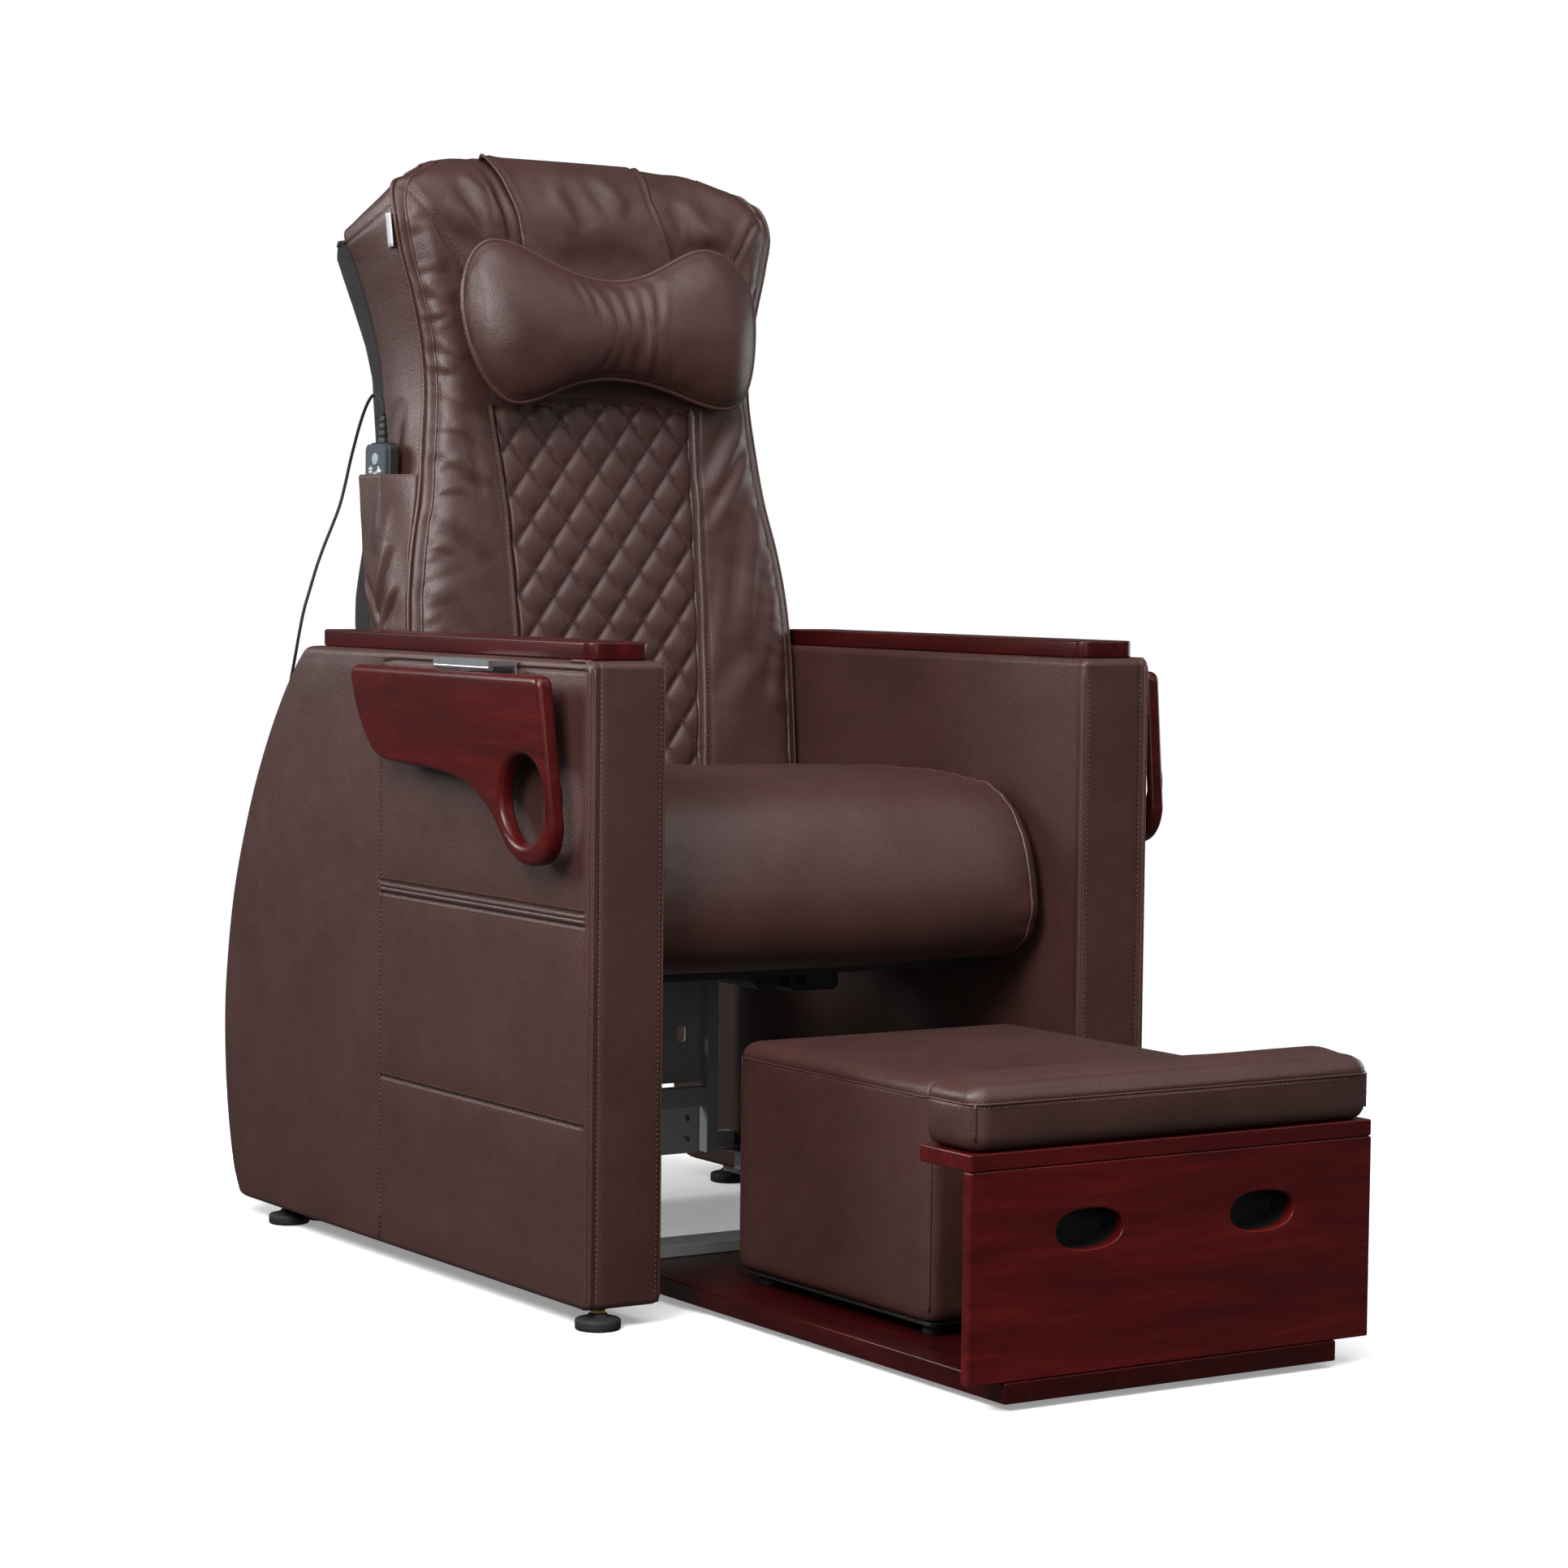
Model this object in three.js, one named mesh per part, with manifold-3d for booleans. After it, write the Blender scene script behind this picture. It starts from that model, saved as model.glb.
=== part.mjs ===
// A pedicure spa chair: upholstered arms with wooden caps and flip-up trays, a seat, a reclining backrest with
// a head pillow and a corded handset, and a pull-out foot bench that carries a stool.
// Millimetres, +Z up. The sitter faces -Y. In the chair's own group Y = 0 is the arms' front face.
import * as THREE from "three";
import { mergeVertices } from "three/addons/utils/BufferGeometryUtils.js";
import Module from "manifold-3d";

const wasm = await Module();
wasm.setup();

// Driving dimensions.
const GAP = 0.3;
const ARM_OUT = 332;
const ARM_IN = 246;
const ARM_BOTTOM = 20;
const ARM_TOP = 632.5;
const ARM_CORNER = 16;
const ARM_REAR = { top: 583, shoulder: [608, 630], belly: [805, 217], heel: [771, 30], sole: 748 };
const CAP = { top: 650, inset: 8, front: 14, rear: 583, corner: 16, edge: 2 };
const SEAT = { half: 240, front: 50, rear: 500, crown: 512, nose: 324, under: 345.5 };
const PAN = { half: 236, front: 168, rear: 455, low: 330.3, high: 345.2 };
const RAIL = { half: 236, wide: 30, front: 168, rear: 649, low: 306, high: 330 };
const REAR_FRAME = { front: 650, depth: 17, post: [207, 221], low: 43, high: 305.7, tie: [98, 120] };
const PIVOT = { y: 515, z: 430, r: 8 };
const RECLINE_DEG = 40;
const LEVER = { length: 130, x: 60, thick: 8, half: 12, pin: 5 };
const LEVER_ANGLE = THREE.MathUtils.degToRad(RECLINE_DEG / 2);
const LEVER_PIN_Y = PIVOT.y + LEVER.length * Math.sin(LEVER_ANGLE);
const LEVER_PIN_Z = PIVOT.z - LEVER.length * Math.cos(LEVER_ANGLE);
const PIN_DROP = LEVER.length * (1 - Math.cos(LEVER_ANGLE));
const ROD_Z = LEVER_PIN_Z - PIN_DROP / 2;
const FOOT = { pad: 22, height: 15, stem: 5, stemTop: 38, bore: 5.5 };
const FOOT_PLACES = {
  front_left: [-308, 14],
  front_right: [308, 14],
  rear_left: [-309, 682],
  rear_right: [309, 682],
  inner_left: [-263, 690],
  inner_right: [263, 690],
};
const TRAY = { thick: 18, lean: 2, axisX: 361, axisZ: 622, cupY: 68.5, cupZ: 500, cupR: 42.5 };
const BENCH = { half: 225, front: -471, rear: -393, panelLow: 25.7, panelHigh: 210, boardHigh: 225.5 };
const BENCH_PANEL_THICK = 12;
const HAND_HOLE = { x: 97, z: 152, long: 69, high: 36 };
const BASE_BOARD = { half: 187, front: -472, rear: 240, low: 6.6, high: 25.4 };
const CARRIAGE = { half: 230, front: 178, rear: 225, low: 25.7, high: 37.5 };
const SLIDE_RAIL = { out: 245.7, in: 228, front: 120, rear: 648, low: 21.5, high: 47, wall: 2 };
const STOOL = { left: -139, right: 191, front: -288, rear: 41, low: 40, high: 262, corner: 12 };
const BACK_TILT_BOARD = { low: [600, 480], slope: 96 / 603 };
const HANDSET = { out: -238, in: -221, front: 601, rear: 651, low: 702, high: 850 };
const POCKET = { out: -243, front: 589, rear: 691, low: 640, high: 814, wall: 2.5 };
const CORD_R = 1.75;

// Heights up the backrest, with the padding's front face and half width there.
const BACK_LEVELS = [
  { z: 470, front: 504, half: 239 },
  { z: 653, front: 528, half: 241 },
  { z: 683, front: 532, half: 239 },
  { z: 738, front: 540, half: 231 },
  { z: 792, front: 548, half: 219 },
  { z: 846, front: 556, half: 212 },
  { z: 920, front: 564, half: 206 },
  { z: 956, front: 566, half: 209 },
  { z: 1002, front: 568, half: 218 },
  { z: 1057, front: 571, half: 232 },
  { z: 1094, front: 573, half: 238 },
  { z: 1117, front: 583, half: 236 },
  { z: 1138, front: 598, half: 222 },
  { z: 1150, front: 614, half: 200 },
  { z: 1156, front: 628, half: 178 },
];
const BACK_TOP_REAR = { 1138: 696, 1150: 684, 1156: 672 };
// Heights up the black shell behind the padding, with its rearmost face there.
const SHELL_LEVELS = [
  { z: 480, rear: 648 },
  { z: 560, rear: 672 },
  { z: 650, rear: 690 },
  { z: 856, rear: 692 },
  { z: 909, rear: 702 },
  { z: 963, rear: 718 },
  { z: 1017, rear: 735 },
  { z: 1053, rear: 741 },
  { z: 1090, rear: 728 },
];
const SHELL_WALL = 4;

const finish = (color, roughness, metalness) => new THREE.MeshStandardMaterial({ color, roughness, metalness });
const leather = () => finish(0x4b3430, 0.5, 0);
const wood = () => finish(0x5a1a1c, 0.3, 0);
const plywood = () => finish(0xb08a5c, 0.8, 0);
const greyPaint = () => finish(0x6f726f, 0.5, 0.2);
const steel = () => finish(0x9a9c9e, 0.35, 0.9);
const aluminium = () => finish(0xb4b6b8, 0.4, 0.9);
const blackPlastic = () => finish(0x1c1d1f, 0.5, 0);
const handsetBlue = () => finish(0x465058, 0.45, 0);
const buttonGrey = () => finish(0xc8ccd0, 0.5, 0);
const blackCloth = () => finish(0x141416, 0.95, 0);
const rubber = () => finish(0x121212, 0.8, 0);

const chair = new THREE.Group();

function add(name, geometry, material) {
  const mesh = new THREE.Mesh(geometry, material);
  mesh.name = name;
  chair.add(mesh);
  return mesh;
}

// ---- solids ----

function solid(geometry) {
  const bare = geometry.clone();
  bare.deleteAttribute("normal");
  bare.deleteAttribute("uv");
  const merged = mergeVertices(bare, 1e-4);
  const mesh = new wasm.Mesh({
    numProp: 3,
    vertProperties: new Float32Array(merged.attributes.position.array),
    triVerts: new Uint32Array(merged.index.array),
  });
  return new wasm.Manifold(mesh);
}

function geometryOf(made) {
  const mesh = made.getMesh();
  const geometry = new THREE.BufferGeometry();
  geometry.setAttribute("position", new THREE.BufferAttribute(new Float32Array(mesh.vertProperties), 3));
  geometry.setIndex(new THREE.BufferAttribute(new Uint32Array(mesh.triVerts), 1));
  const flat = geometry.toNonIndexed();
  flat.computeVertexNormals();
  return flat;
}

const cut = (first, ...others) => geometryOf(others.reduce((a, b) => a.subtract(solid(b)), solid(first)));
const join = (first, ...others) => geometryOf(others.reduce((a, b) => a.add(solid(b)), solid(first)));

function block([x0, x1], [y0, y1], [z0, z1]) {
  const geometry = new THREE.BoxGeometry(x1 - x0, y1 - y0, z1 - z0);
  return geometry.translate((x0 + x1) / 2, (y0 + y1) / 2, (z0 + z1) / 2);
}

const AXES = {
  // A shape's two directions and the way it is extruded.
  x: [new THREE.Vector3(0, 1, 0), new THREE.Vector3(0, 0, 1), new THREE.Vector3(1, 0, 0)],
  y: [new THREE.Vector3(1, 0, 0), new THREE.Vector3(0, 0, 1), new THREE.Vector3(0, -1, 0)],
  z: [new THREE.Vector3(1, 0, 0), new THREE.Vector3(0, 1, 0), new THREE.Vector3(0, 0, 1)],
};

// A shape extruded along an axis between two stations. On x it is drawn in Y and Z, on y in X and Z.
function extrude(shape, axis, low, high, edge = 0, curveSegments = 8) {
  const geometry = new THREE.ExtrudeGeometry(shape, {
    depth: high - low - 2 * edge,
    curveSegments,
    bevelEnabled: edge > 0,
    bevelThickness: edge,
    bevelSize: edge,
    bevelOffset: -edge,
    bevelSegments: 1,
  });
  geometry.applyMatrix4(new THREE.Matrix4().makeBasis(...AXES[axis]));
  const start = (axis === "y" ? -high : low) + edge;
  return geometry.translate(...AXES[axis][2].clone().multiplyScalar(start).toArray());
}

function rounded(x0, x1, y0, y1, r) {
  const shape = new THREE.Shape();
  shape.moveTo(x0 + r, y0);
  shape.lineTo(x1 - r, y0);
  shape.absarc(x1 - r, y0 + r, r, -Math.PI / 2, 0);
  shape.lineTo(x1, y1 - r);
  shape.absarc(x1 - r, y1 - r, r, 0, Math.PI / 2);
  shape.lineTo(x0 + r, y1);
  shape.absarc(x0 + r, y1 - r, r, Math.PI / 2, Math.PI);
  shape.lineTo(x0, y0 + r);
  shape.absarc(x0 + r, y0 + r, r, Math.PI, 1.5 * Math.PI);
  return shape;
}

const disc = (x, y, r) => new THREE.Shape().absarc(x, y, r, 0, 2 * Math.PI);

function rod(axis, a, b, r, low, high, sides = 20) {
  return extrude(disc(a, b, r), axis, low, high, 0, sides);
}

const polygon = (points) => new THREE.Shape(points.map(([a, b]) => new THREE.Vector2(a, b)));

// A closed skin over level rings with the same number of corners, lowest first, each turning left seen from above.
function loft(rings) {
  const n = rings[0].length;
  const points = rings.flat();
  const faces = [];
  for (let level = 0; level + 1 < rings.length; level++) {
    for (let i = 0; i < n; i++) {
      const a = level * n + i;
      const b = level * n + ((i + 1) % n);
      faces.push(a, b, b + n, a, b + n, a + n);
    }
  }
  const top = (rings.length - 1) * n;
  for (let i = 1; i + 1 < n; i++) {
    faces.push(0, i + 1, i, top, top + i, top + i + 1);
  }
  const geometry = new THREE.BufferGeometry();
  geometry.setAttribute("position", new THREE.Float32BufferAttribute(points.flat(), 3));
  geometry.setIndex(faces);
  const flat = geometry.toNonIndexed();
  flat.computeVertexNormals();
  return flat;
}

// ---- arms, caps and feet ----

function armOutline() {
  const shape = new THREE.Shape();
  const { top, shoulder, belly, heel, sole } = ARM_REAR;
  shape.moveTo(ARM_CORNER, ARM_BOTTOM);
  shape.lineTo(sole, ARM_BOTTOM);
  shape.quadraticCurveTo(heel[0] - 4, ARM_BOTTOM, heel[0], heel[1]);
  shape.bezierCurveTo(796, 74, 806, 150, ...belly);
  shape.bezierCurveTo(803, 400, 690, 560, ...shoulder);
  shape.quadraticCurveTo(shoulder[0] - 3, ARM_TOP, top, ARM_TOP);
  shape.lineTo(6, ARM_TOP);
  shape.quadraticCurveTo(0, ARM_TOP, 0, ARM_TOP - 6);
  shape.lineTo(0, ARM_BOTTOM + ARM_CORNER);
  shape.absarc(ARM_CORNER, ARM_BOTTOM + ARM_CORNER, ARM_CORNER, Math.PI, 1.5 * Math.PI);
  return shape;
}

function armPanel(side, feet) {
  const low = side < 0 ? -ARM_OUT : ARM_IN;
  const panel = extrude(armOutline(), "x", low, low + ARM_OUT - ARM_IN, 4, 10);
  const bores = feet.map(([x, y]) => rod("z", x, y, FOOT.bore, ARM_BOTTOM - 5, FOOT.stemTop + 2, 8));
  return cut(panel, ...bores);
}

// A levelling foot: a rubber pad round the head of its threaded stem.
function foot(x, y) {
  const { pad, height, stem, stemTop } = FOOT;
  const profile = [
    [0, 0],
    [pad - 1.5, 0],
    [pad, 1.5],
    [pad, height * 0.55],
    [pad - 3, height * 0.8],
    [9, height],
    [stem, height],
    [stem, stemTop],
    [0, stemTop],
  ].map(([r, z]) => new THREE.Vector2(r, z));
  return new THREE.LatheGeometry(profile, 16).rotateX(Math.PI / 2).translate(x, y, 0);
}

for (const [side, word] of [
  [-1, "left"],
  [1, "right"],
]) {
  const feet = Object.entries(FOOT_PLACES).filter(([name]) => name.endsWith(word));
  add(`${word}_arm_panel`, armPanel(side, feet.map(([, at]) => at)), leather());
  for (const [name, [x, y]] of feet) {
    add(`${name}_levelling_foot`, foot(x, y), rubber());
  }
  const inner = side * (ARM_IN + CAP.inset);
  const outer = side * (ARM_OUT - CAP.inset);
  const outline = rounded(Math.min(inner, outer), Math.max(inner, outer), CAP.front, CAP.rear, CAP.corner);
  add(`${word}_arm_cap`, extrude(outline, "z", ARM_TOP + GAP, CAP.top, CAP.edge, 5), wood());
}

// ---- seat ----

function seatProfile() {
  const { front, rear, crown, nose, under } = SEAT;
  const shape = new THREE.Shape();
  shape.moveTo(90, nose);
  shape.lineTo(PAN.front - 4, nose);
  shape.lineTo(PAN.front - 4, under);
  shape.lineTo(462, under);
  shape.lineTo(rear - 2, 470);
  shape.lineTo(rear, crown - 26);
  shape.quadraticCurveTo(rear - 4, crown - 16, rear - 30, crown - 12);
  shape.bezierCurveTo(380, crown, 240, crown, 150, crown - 8);
  shape.bezierCurveTo(95, crown - 14, 66, 455, front + 4, 412);
  shape.bezierCurveTo(front - 8, 372, front + 2, 338, 90, nose);
  return shape;
}
add("seat_cushion", extrude(seatProfile(), "x", -SEAT.half, SEAT.half, 5, 8), leather());
add("seat_pan", block([-PAN.half, PAN.half], [PAN.front, PAN.rear], [PAN.low, PAN.high]), plywood());

function ringShape(x0, x1, y0, y1, wide) {
  const shape = rounded(x0, x1, y0, y1, 2);
  shape.holes.push(rounded(x0 + wide, x1 - wide, y0 + wide, y1 - wide, 2));
  return shape;
}
const rearOfRail = RAIL.front + RAIL.wide;
function seatFrame() {
  const ring = ringShape(-RAIL.half, RAIL.half, RAIL.front, RAIL.rear, RAIL.wide);
  const hanger = block([LEVER.x - 16, LEVER.x + 16], [rearOfRail - 1, rearOfRail + 8 - GAP], [292, 329]);
  return join(extrude(ring, "z", RAIL.low, RAIL.high, 0, 2), hanger);
}
add("seat_frame", seatFrame(), greyPaint());

// ---- rear frame between the arms ----

function rearFrame() {
  const { front, depth, post, low, high, tie } = REAR_FRAME;
  const y = [front, front + depth];
  const posts = [-1, 1].map((s) => block(s < 0 ? [-post[1], -post[0]] : post, y, [low, high]));
  const ties = [tie, [high - 22, high]].map((z) => block([-post[0] - 1, post[0] + 1], y, z));
  const legs = [-1, 1].map((s) => {
    const x = s < 0 ? [-245.7, -post[0] - 1] : [post[0] + 1, 245.7];
    return block(x, [front + 1, front + depth - 1], [48, 66]);
  });
  return join(...posts, ...ties, ...legs);
}
add("rear_frame", rearFrame(), greyPaint());

const PANEL_Y = REAR_FRAME.front + REAR_FRAME.depth + GAP;
function rearPanel() {
  const sheet = rounded(-218, 218, 124, 303, 3);
  sheet.holes.push(rounded(176, 187, 172, 190, 3));
  sheet.holes.push(rounded(-122, -78, 196, 228, 2));
  return extrude(sheet, "y", PANEL_Y, PANEL_Y + 3, 0, 3);
}
add("rear_panel", rearPanel(), greyPaint());
const skirt = extrude(rounded(-196, 196, REAR_FRAME.low + 1, REAR_FRAME.tie[0] - GAP, 4), "y", 652, 655);
add("rear_lower_plate", skirt, greyPaint());
add("mains_inlet", block([-121, -79], [PANEL_Y - 6, PANEL_Y + 8], [197, 227]), blackPlastic());
add("control_box", block([-150, -40], [592, 649.7], [140, 270]), blackPlastic());

// ---- recline pivot and actuator ----

for (const [side, word] of [
  [-1, "left"],
  [1, "right"],
]) {
  const plate = disc(PIVOT.y, PIVOT.z, 32);
  plate.holes.push(disc(PIVOT.y, PIVOT.z, PIVOT.r + GAP));
  const low = side < 0 ? -245.7 : 240.3;
  add(`${word}_recline_bracket`, extrude(plate, "x", low, low + 5.4, 0, 10), steel());
}
add("recline_shaft", rod("x", PIVOT.y, PIVOT.z, PIVOT.r, -245, 245, 10), steel());

const MOTOR_X = [LEVER.x - 30, LEVER.x + 30];
const TUBE = { front: 270, rear: 438, out: 15, bore: 8.5 };
add("actuator_gearbox", extrude(rounded(...MOTOR_X, 284, 328, 6), "y", rearOfRail + 8, TUBE.front - GAP), blackPlastic());
add("actuator_motor", rod("y", LEVER.x - 54, 306, 20, rearOfRail + 14, 330, 16), blackPlastic());
const actuatorTube = disc(LEVER.x, ROD_Z, TUBE.out);
actuatorTube.holes.push(disc(LEVER.x, ROD_Z, TUBE.bore));
add("actuator_tube", extrude(actuatorTube, "y", TUBE.front, TUBE.rear, 0, 12), aluminium());

// The rod's fork straddles the lever. Its slots are taller than the pin, which swings on an arc.
function rodAndFork() {
  const shaft = rod("y", LEVER.x, ROD_Z, PIVOT.r, 365, 531, 12);
  const fork = block([LEVER.x - 11, LEVER.x + 11], [530, LEVER_PIN_Y + 16], [ROD_Z - 15, ROD_Z + 15]);
  const mouth = LEVER.thick / 2 + 0.8;
  const slit = block([LEVER.x - mouth, LEVER.x + mouth], [538, LEVER_PIN_Y + 17], [ROD_Z - 16, ROD_Z + 16]);
  const high = LEVER.pin + PIN_DROP / 2 + 1;
  const wide = LEVER.pin + 1;
  const pinSlot = block([LEVER.x - 12, LEVER.x + 12], [LEVER_PIN_Y - wide, LEVER_PIN_Y + wide], [
    ROD_Z - high,
    ROD_Z + high,
  ]);
  return cut(join(shaft, fork), slit, pinSlot);
}
add("actuator_rod", rodAndFork(), steel());

// ---- backrest ----

const boardY = (z) => BACK_TILT_BOARD.low[0] + (z - BACK_TILT_BOARD.low[1]) * BACK_TILT_BOARD.slope;
const rearHalf = (half) => Math.min(half - 12, 208);

// The padding, or with a margin the space that its neighbours keep clear of it.
function padding(margin = 0) {
  const corner = 12;
  return loft(
    BACK_LEVELS.map(({ z, front, half }, i) => {
      const last = i === BACK_LEVELS.length - 1 ? margin : 0;
      const first = i === 0 ? -margin : 0;
      const f = front - margin;
      const b = (BACK_TOP_REAR[z] ?? boardY(z)) + margin;
      const w = half + margin;
      const r = rearHalf(half) + margin;
      const at = z + last + first;
      return [
        [-w + corner, f, at],
        [w - corner, f, at],
        [w, f + corner, at],
        [r, b, at],
        [-r, b, at],
        [-w, f + corner, at],
      ];
    }),
  );
}

const halfAt = (z) => {
  const i = Math.max(1, BACK_LEVELS.findIndex((level) => level.z >= z));
  const [a, b] = [BACK_LEVELS[i - 1], BACK_LEVELS[i]];
  return a.half + ((z - a.z) / (b.z - a.z)) * (b.half - a.half);
};

function shellBody(inset, front, extra) {
  return loft(
    SHELL_LEVELS.map(({ z, rear }, i) => {
      const bottom = i === 0 ? extra : 0;
      const top = i === SHELL_LEVELS.length - 1 ? inset : 0;
      const at = z - bottom - top;
      const w = rearHalf(halfAt(z)) - 2 - inset;
      const f = boardY(z) + front;
      const b = rear - inset;
      return [
        [-w, f, at],
        [w, f, at],
        [w - 3, b - 12, at],
        [w - 22, b, at],
        [-w + 22, b, at],
        [-w + 3, b - 12, at],
      ];
    }),
  );
}
add("backrest_cushion", padding(), leather());
add("back_shell", cut(shellBody(0, GAP, 0), shellBody(SHELL_WALL, -2, 6)), blackCloth());

function frameSide(x) {
  const lean = (z, d) => [boardY(z) + d, z];
  const outline = polygon([
    [PIVOT.y - 12, PIVOT.z - 2],
    [PIVOT.y - 4, PIVOT.z - 13],
    [PIVOT.y + 12, PIVOT.z - 12],
    [612, 452],
    [628, 466],
    lean(486, 24),
    lean(1035, 22),
    lean(1035, 5),
    lean(486, 5),
    [596, 462],
    [PIVOT.y + 8, PIVOT.z + 13],
    [PIVOT.y - 6, PIVOT.z + 13],
  ]);
  outline.holes.push(disc(PIVOT.y, PIVOT.z, PIVOT.r + GAP));
  return extrude(outline, "x", x - 4, x + 4, 0, 6);
}

function backFrame() {
  const ties = [505, 575, 800, 1010].map((z) => {
    const y = boardY(z) + 6;
    return block([-148, 148], [y, y + 13], [z, z + 13]);
  });
  const lever = polygon([
    [PIVOT.y - 11, PIVOT.z + 5],
    [LEVER_PIN_Y - 12, LEVER_PIN_Z],
    [LEVER_PIN_Y - 8, LEVER_PIN_Z - 9],
    [LEVER_PIN_Y + 1, LEVER_PIN_Z - 11],
    [LEVER_PIN_Y + 9, LEVER_PIN_Z - 8],
    [LEVER_PIN_Y + 12, LEVER_PIN_Z + 2],
    [PIVOT.y + 24, PIVOT.z - 14],
    [620, 458],
    [boardY(500) + 22, 500],
    [boardY(515) + 12, 515],
    [boardY(500) + 5, 500],
    [boardY(486) + 5, 486],
    [599, 463],
    [PIVOT.y + 8, PIVOT.z + 13],
    [PIVOT.y - 6, PIVOT.z + 13],
  ]);
  lever.holes.push(disc(PIVOT.y, PIVOT.z, PIVOT.r + GAP));
  lever.holes.push(disc(LEVER_PIN_Y, LEVER_PIN_Z, LEVER.pin + GAP));
  const plate = extrude(lever, "x", LEVER.x - LEVER.thick / 2, LEVER.x + LEVER.thick / 2, 0, 6);
  return join(frameSide(-150), frameSide(150), ...ties, plate);
}
add("back_frame", backFrame(), steel());
add("lever_pin", rod("x", LEVER_PIN_Y, LEVER_PIN_Z, LEVER.pin, LEVER.x - 13, LEVER.x + 13, 8), steel());
const MASSAGE = { half: 34, z: 680, high: 34, deep: 20 };
const massageY = boardY(MASSAGE.z + MASSAGE.high) + GAP;
add(
  "massage_motor",
  block([-MASSAGE.half, MASSAGE.half], [massageY, massageY + MASSAGE.deep], [MASSAGE.z, MASSAGE.z + MASSAGE.high]),
  blackPlastic(),
);

// ---- head pillow ----

function pillowOutline() {
  const shape = new THREE.Shape();
  shape.moveTo(0, 1028);
  shape.bezierCurveTo(60, 1030, 76, 1066, 118, 1064);
  shape.bezierCurveTo(158, 1064, 188, 1030, 182, 976);
  shape.bezierCurveTo(176, 930, 164, 896, 140, 896);
  shape.bezierCurveTo(100, 896, 70, 924, 0, 922);
  shape.bezierCurveTo(-70, 924, -100, 896, -140, 896);
  shape.bezierCurveTo(-164, 896, -176, 930, -182, 976);
  shape.bezierCurveTo(-188, 1030, -158, 1064, -118, 1064);
  shape.bezierCurveTo(-76, 1066, -60, 1030, 0, 1028);
  return shape;
}
const PILLOW = { front: 494, rear: 555.5 };
const STRAP_HALF = 98;
add("head_pillow", extrude(pillowOutline(), "y", PILLOW.front, PILLOW.rear, 14, 6), leather());

// The flap that hangs the pillow runs up from behind it, over the backrest's top and down the back.
function strap() {
  const clear = 0.5;
  const thick = 3;
  const front = BACK_LEVELS.filter(({ z }) => z >= 1002).map(({ z, front: y }) => [y, z]);
  const back = Object.entries(BACK_TOP_REAR).map(([z, y]) => [y, Number(z)]);
  const under = [...front, ...back.reverse(), [boardY(1117), 1117], [boardY(1100), 1100]];
  const offset = (far) =>
    under.map(([y, z], i) => {
      const [a, b] = [under[Math.max(0, i - 1)], under[Math.min(under.length - 1, i + 1)]];
      const along = new THREE.Vector2(b[0] - a[0], b[1] - a[1]).normalize();
      return [y - along.y * far, z + along.x * far];
    });
  const outline = polygon([...offset(clear), ...offset(clear + thick).reverse()]);
  return extrude(outline, "x", -STRAP_HALF, STRAP_HALF);
}
add("pillow_strap", strap(), leather());

// ---- handset in its side pocket ----

function pocket() {
  const { out, front, rear, low, high, wall } = POCKET;
  const outside = block([out, -200], [front, rear], [low, high]);
  const inside = block([out + wall, -190], [front + wall, rear - wall], [low + 6, high + 5]);
  const shellSpace = block([-207.5, -150], [600, 760], [low - 10, high + 10]);
  return cut(outside, inside, padding(0.5), shellSpace);
}
add("handset_pocket", pocket(), leather());

const FACE_X = HANDSET.out + 3;
const BUTTON = { count: 4, first: 832, step: 20, r: 6.5, depth: 2.2, travel: 1.2 };
const HANDSET_MID = (HANDSET.front + HANDSET.rear) / 2;
const buttonZ = (i) => BUTTON.first - i * BUTTON.step;

function handsetCase() {
  const outline = rounded(HANDSET.front, HANDSET.rear, HANDSET.low, HANDSET.high, 9);
  return extrude(outline, "x", FACE_X + GAP, HANDSET.in, 2, 4);
}

function handsetFace() {
  const plate = rounded(HANDSET.front + 2, HANDSET.rear - 2, HANDSET.low + 2, HANDSET.high - 2, 8);
  for (let i = 0; i < BUTTON.count; i++) plate.holes.push(disc(HANDSET_MID, buttonZ(i), BUTTON.r + 0.4));
  return extrude(plate, "x", HANDSET.out, FACE_X, 0, 6);
}
add("handset_case", handsetCase(), blackPlastic());
add("handset_face", handsetFace(), handsetBlue());
for (let i = 0; i < BUTTON.count; i++) {
  const low = HANDSET.out - 0.8;
  const key = rod("x", HANDSET_MID, buttonZ(i), BUTTON.r, low, low + BUTTON.depth, 8);
  add(`handset_button_${i + 1}`, key, buttonGrey());
}

// The ribbed sleeve where the cord leaves the handset.
const RELIEF = { x: (FACE_X + HANDSET.in) / 2, y: 627, low: HANDSET.high + GAP, high: 881 };
function strainRelief() {
  const ribs = 4;
  const profile = [new THREE.Vector2(0, 0), new THREE.Vector2(5.5, 0)];
  const length = RELIEF.high - RELIEF.low;
  for (let i = 0; i < ribs; i++) {
    const r = 5.2 - (i * 2) / ribs;
    const at = (length * (i + 0.4)) / ribs;
    profile.push(new THREE.Vector2(r, at), new THREE.Vector2(r - 1, at + 2), new THREE.Vector2(r - 0.2, at + 4));
  }
  profile.push(new THREE.Vector2(2.6, length), new THREE.Vector2(0, length));
  return new THREE.LatheGeometry(profile, 12).rotateX(Math.PI / 2).translate(RELIEF.x, RELIEF.y, RELIEF.low);
}
add("handset_strain_relief", strainRelief(), blackPlastic());

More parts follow.
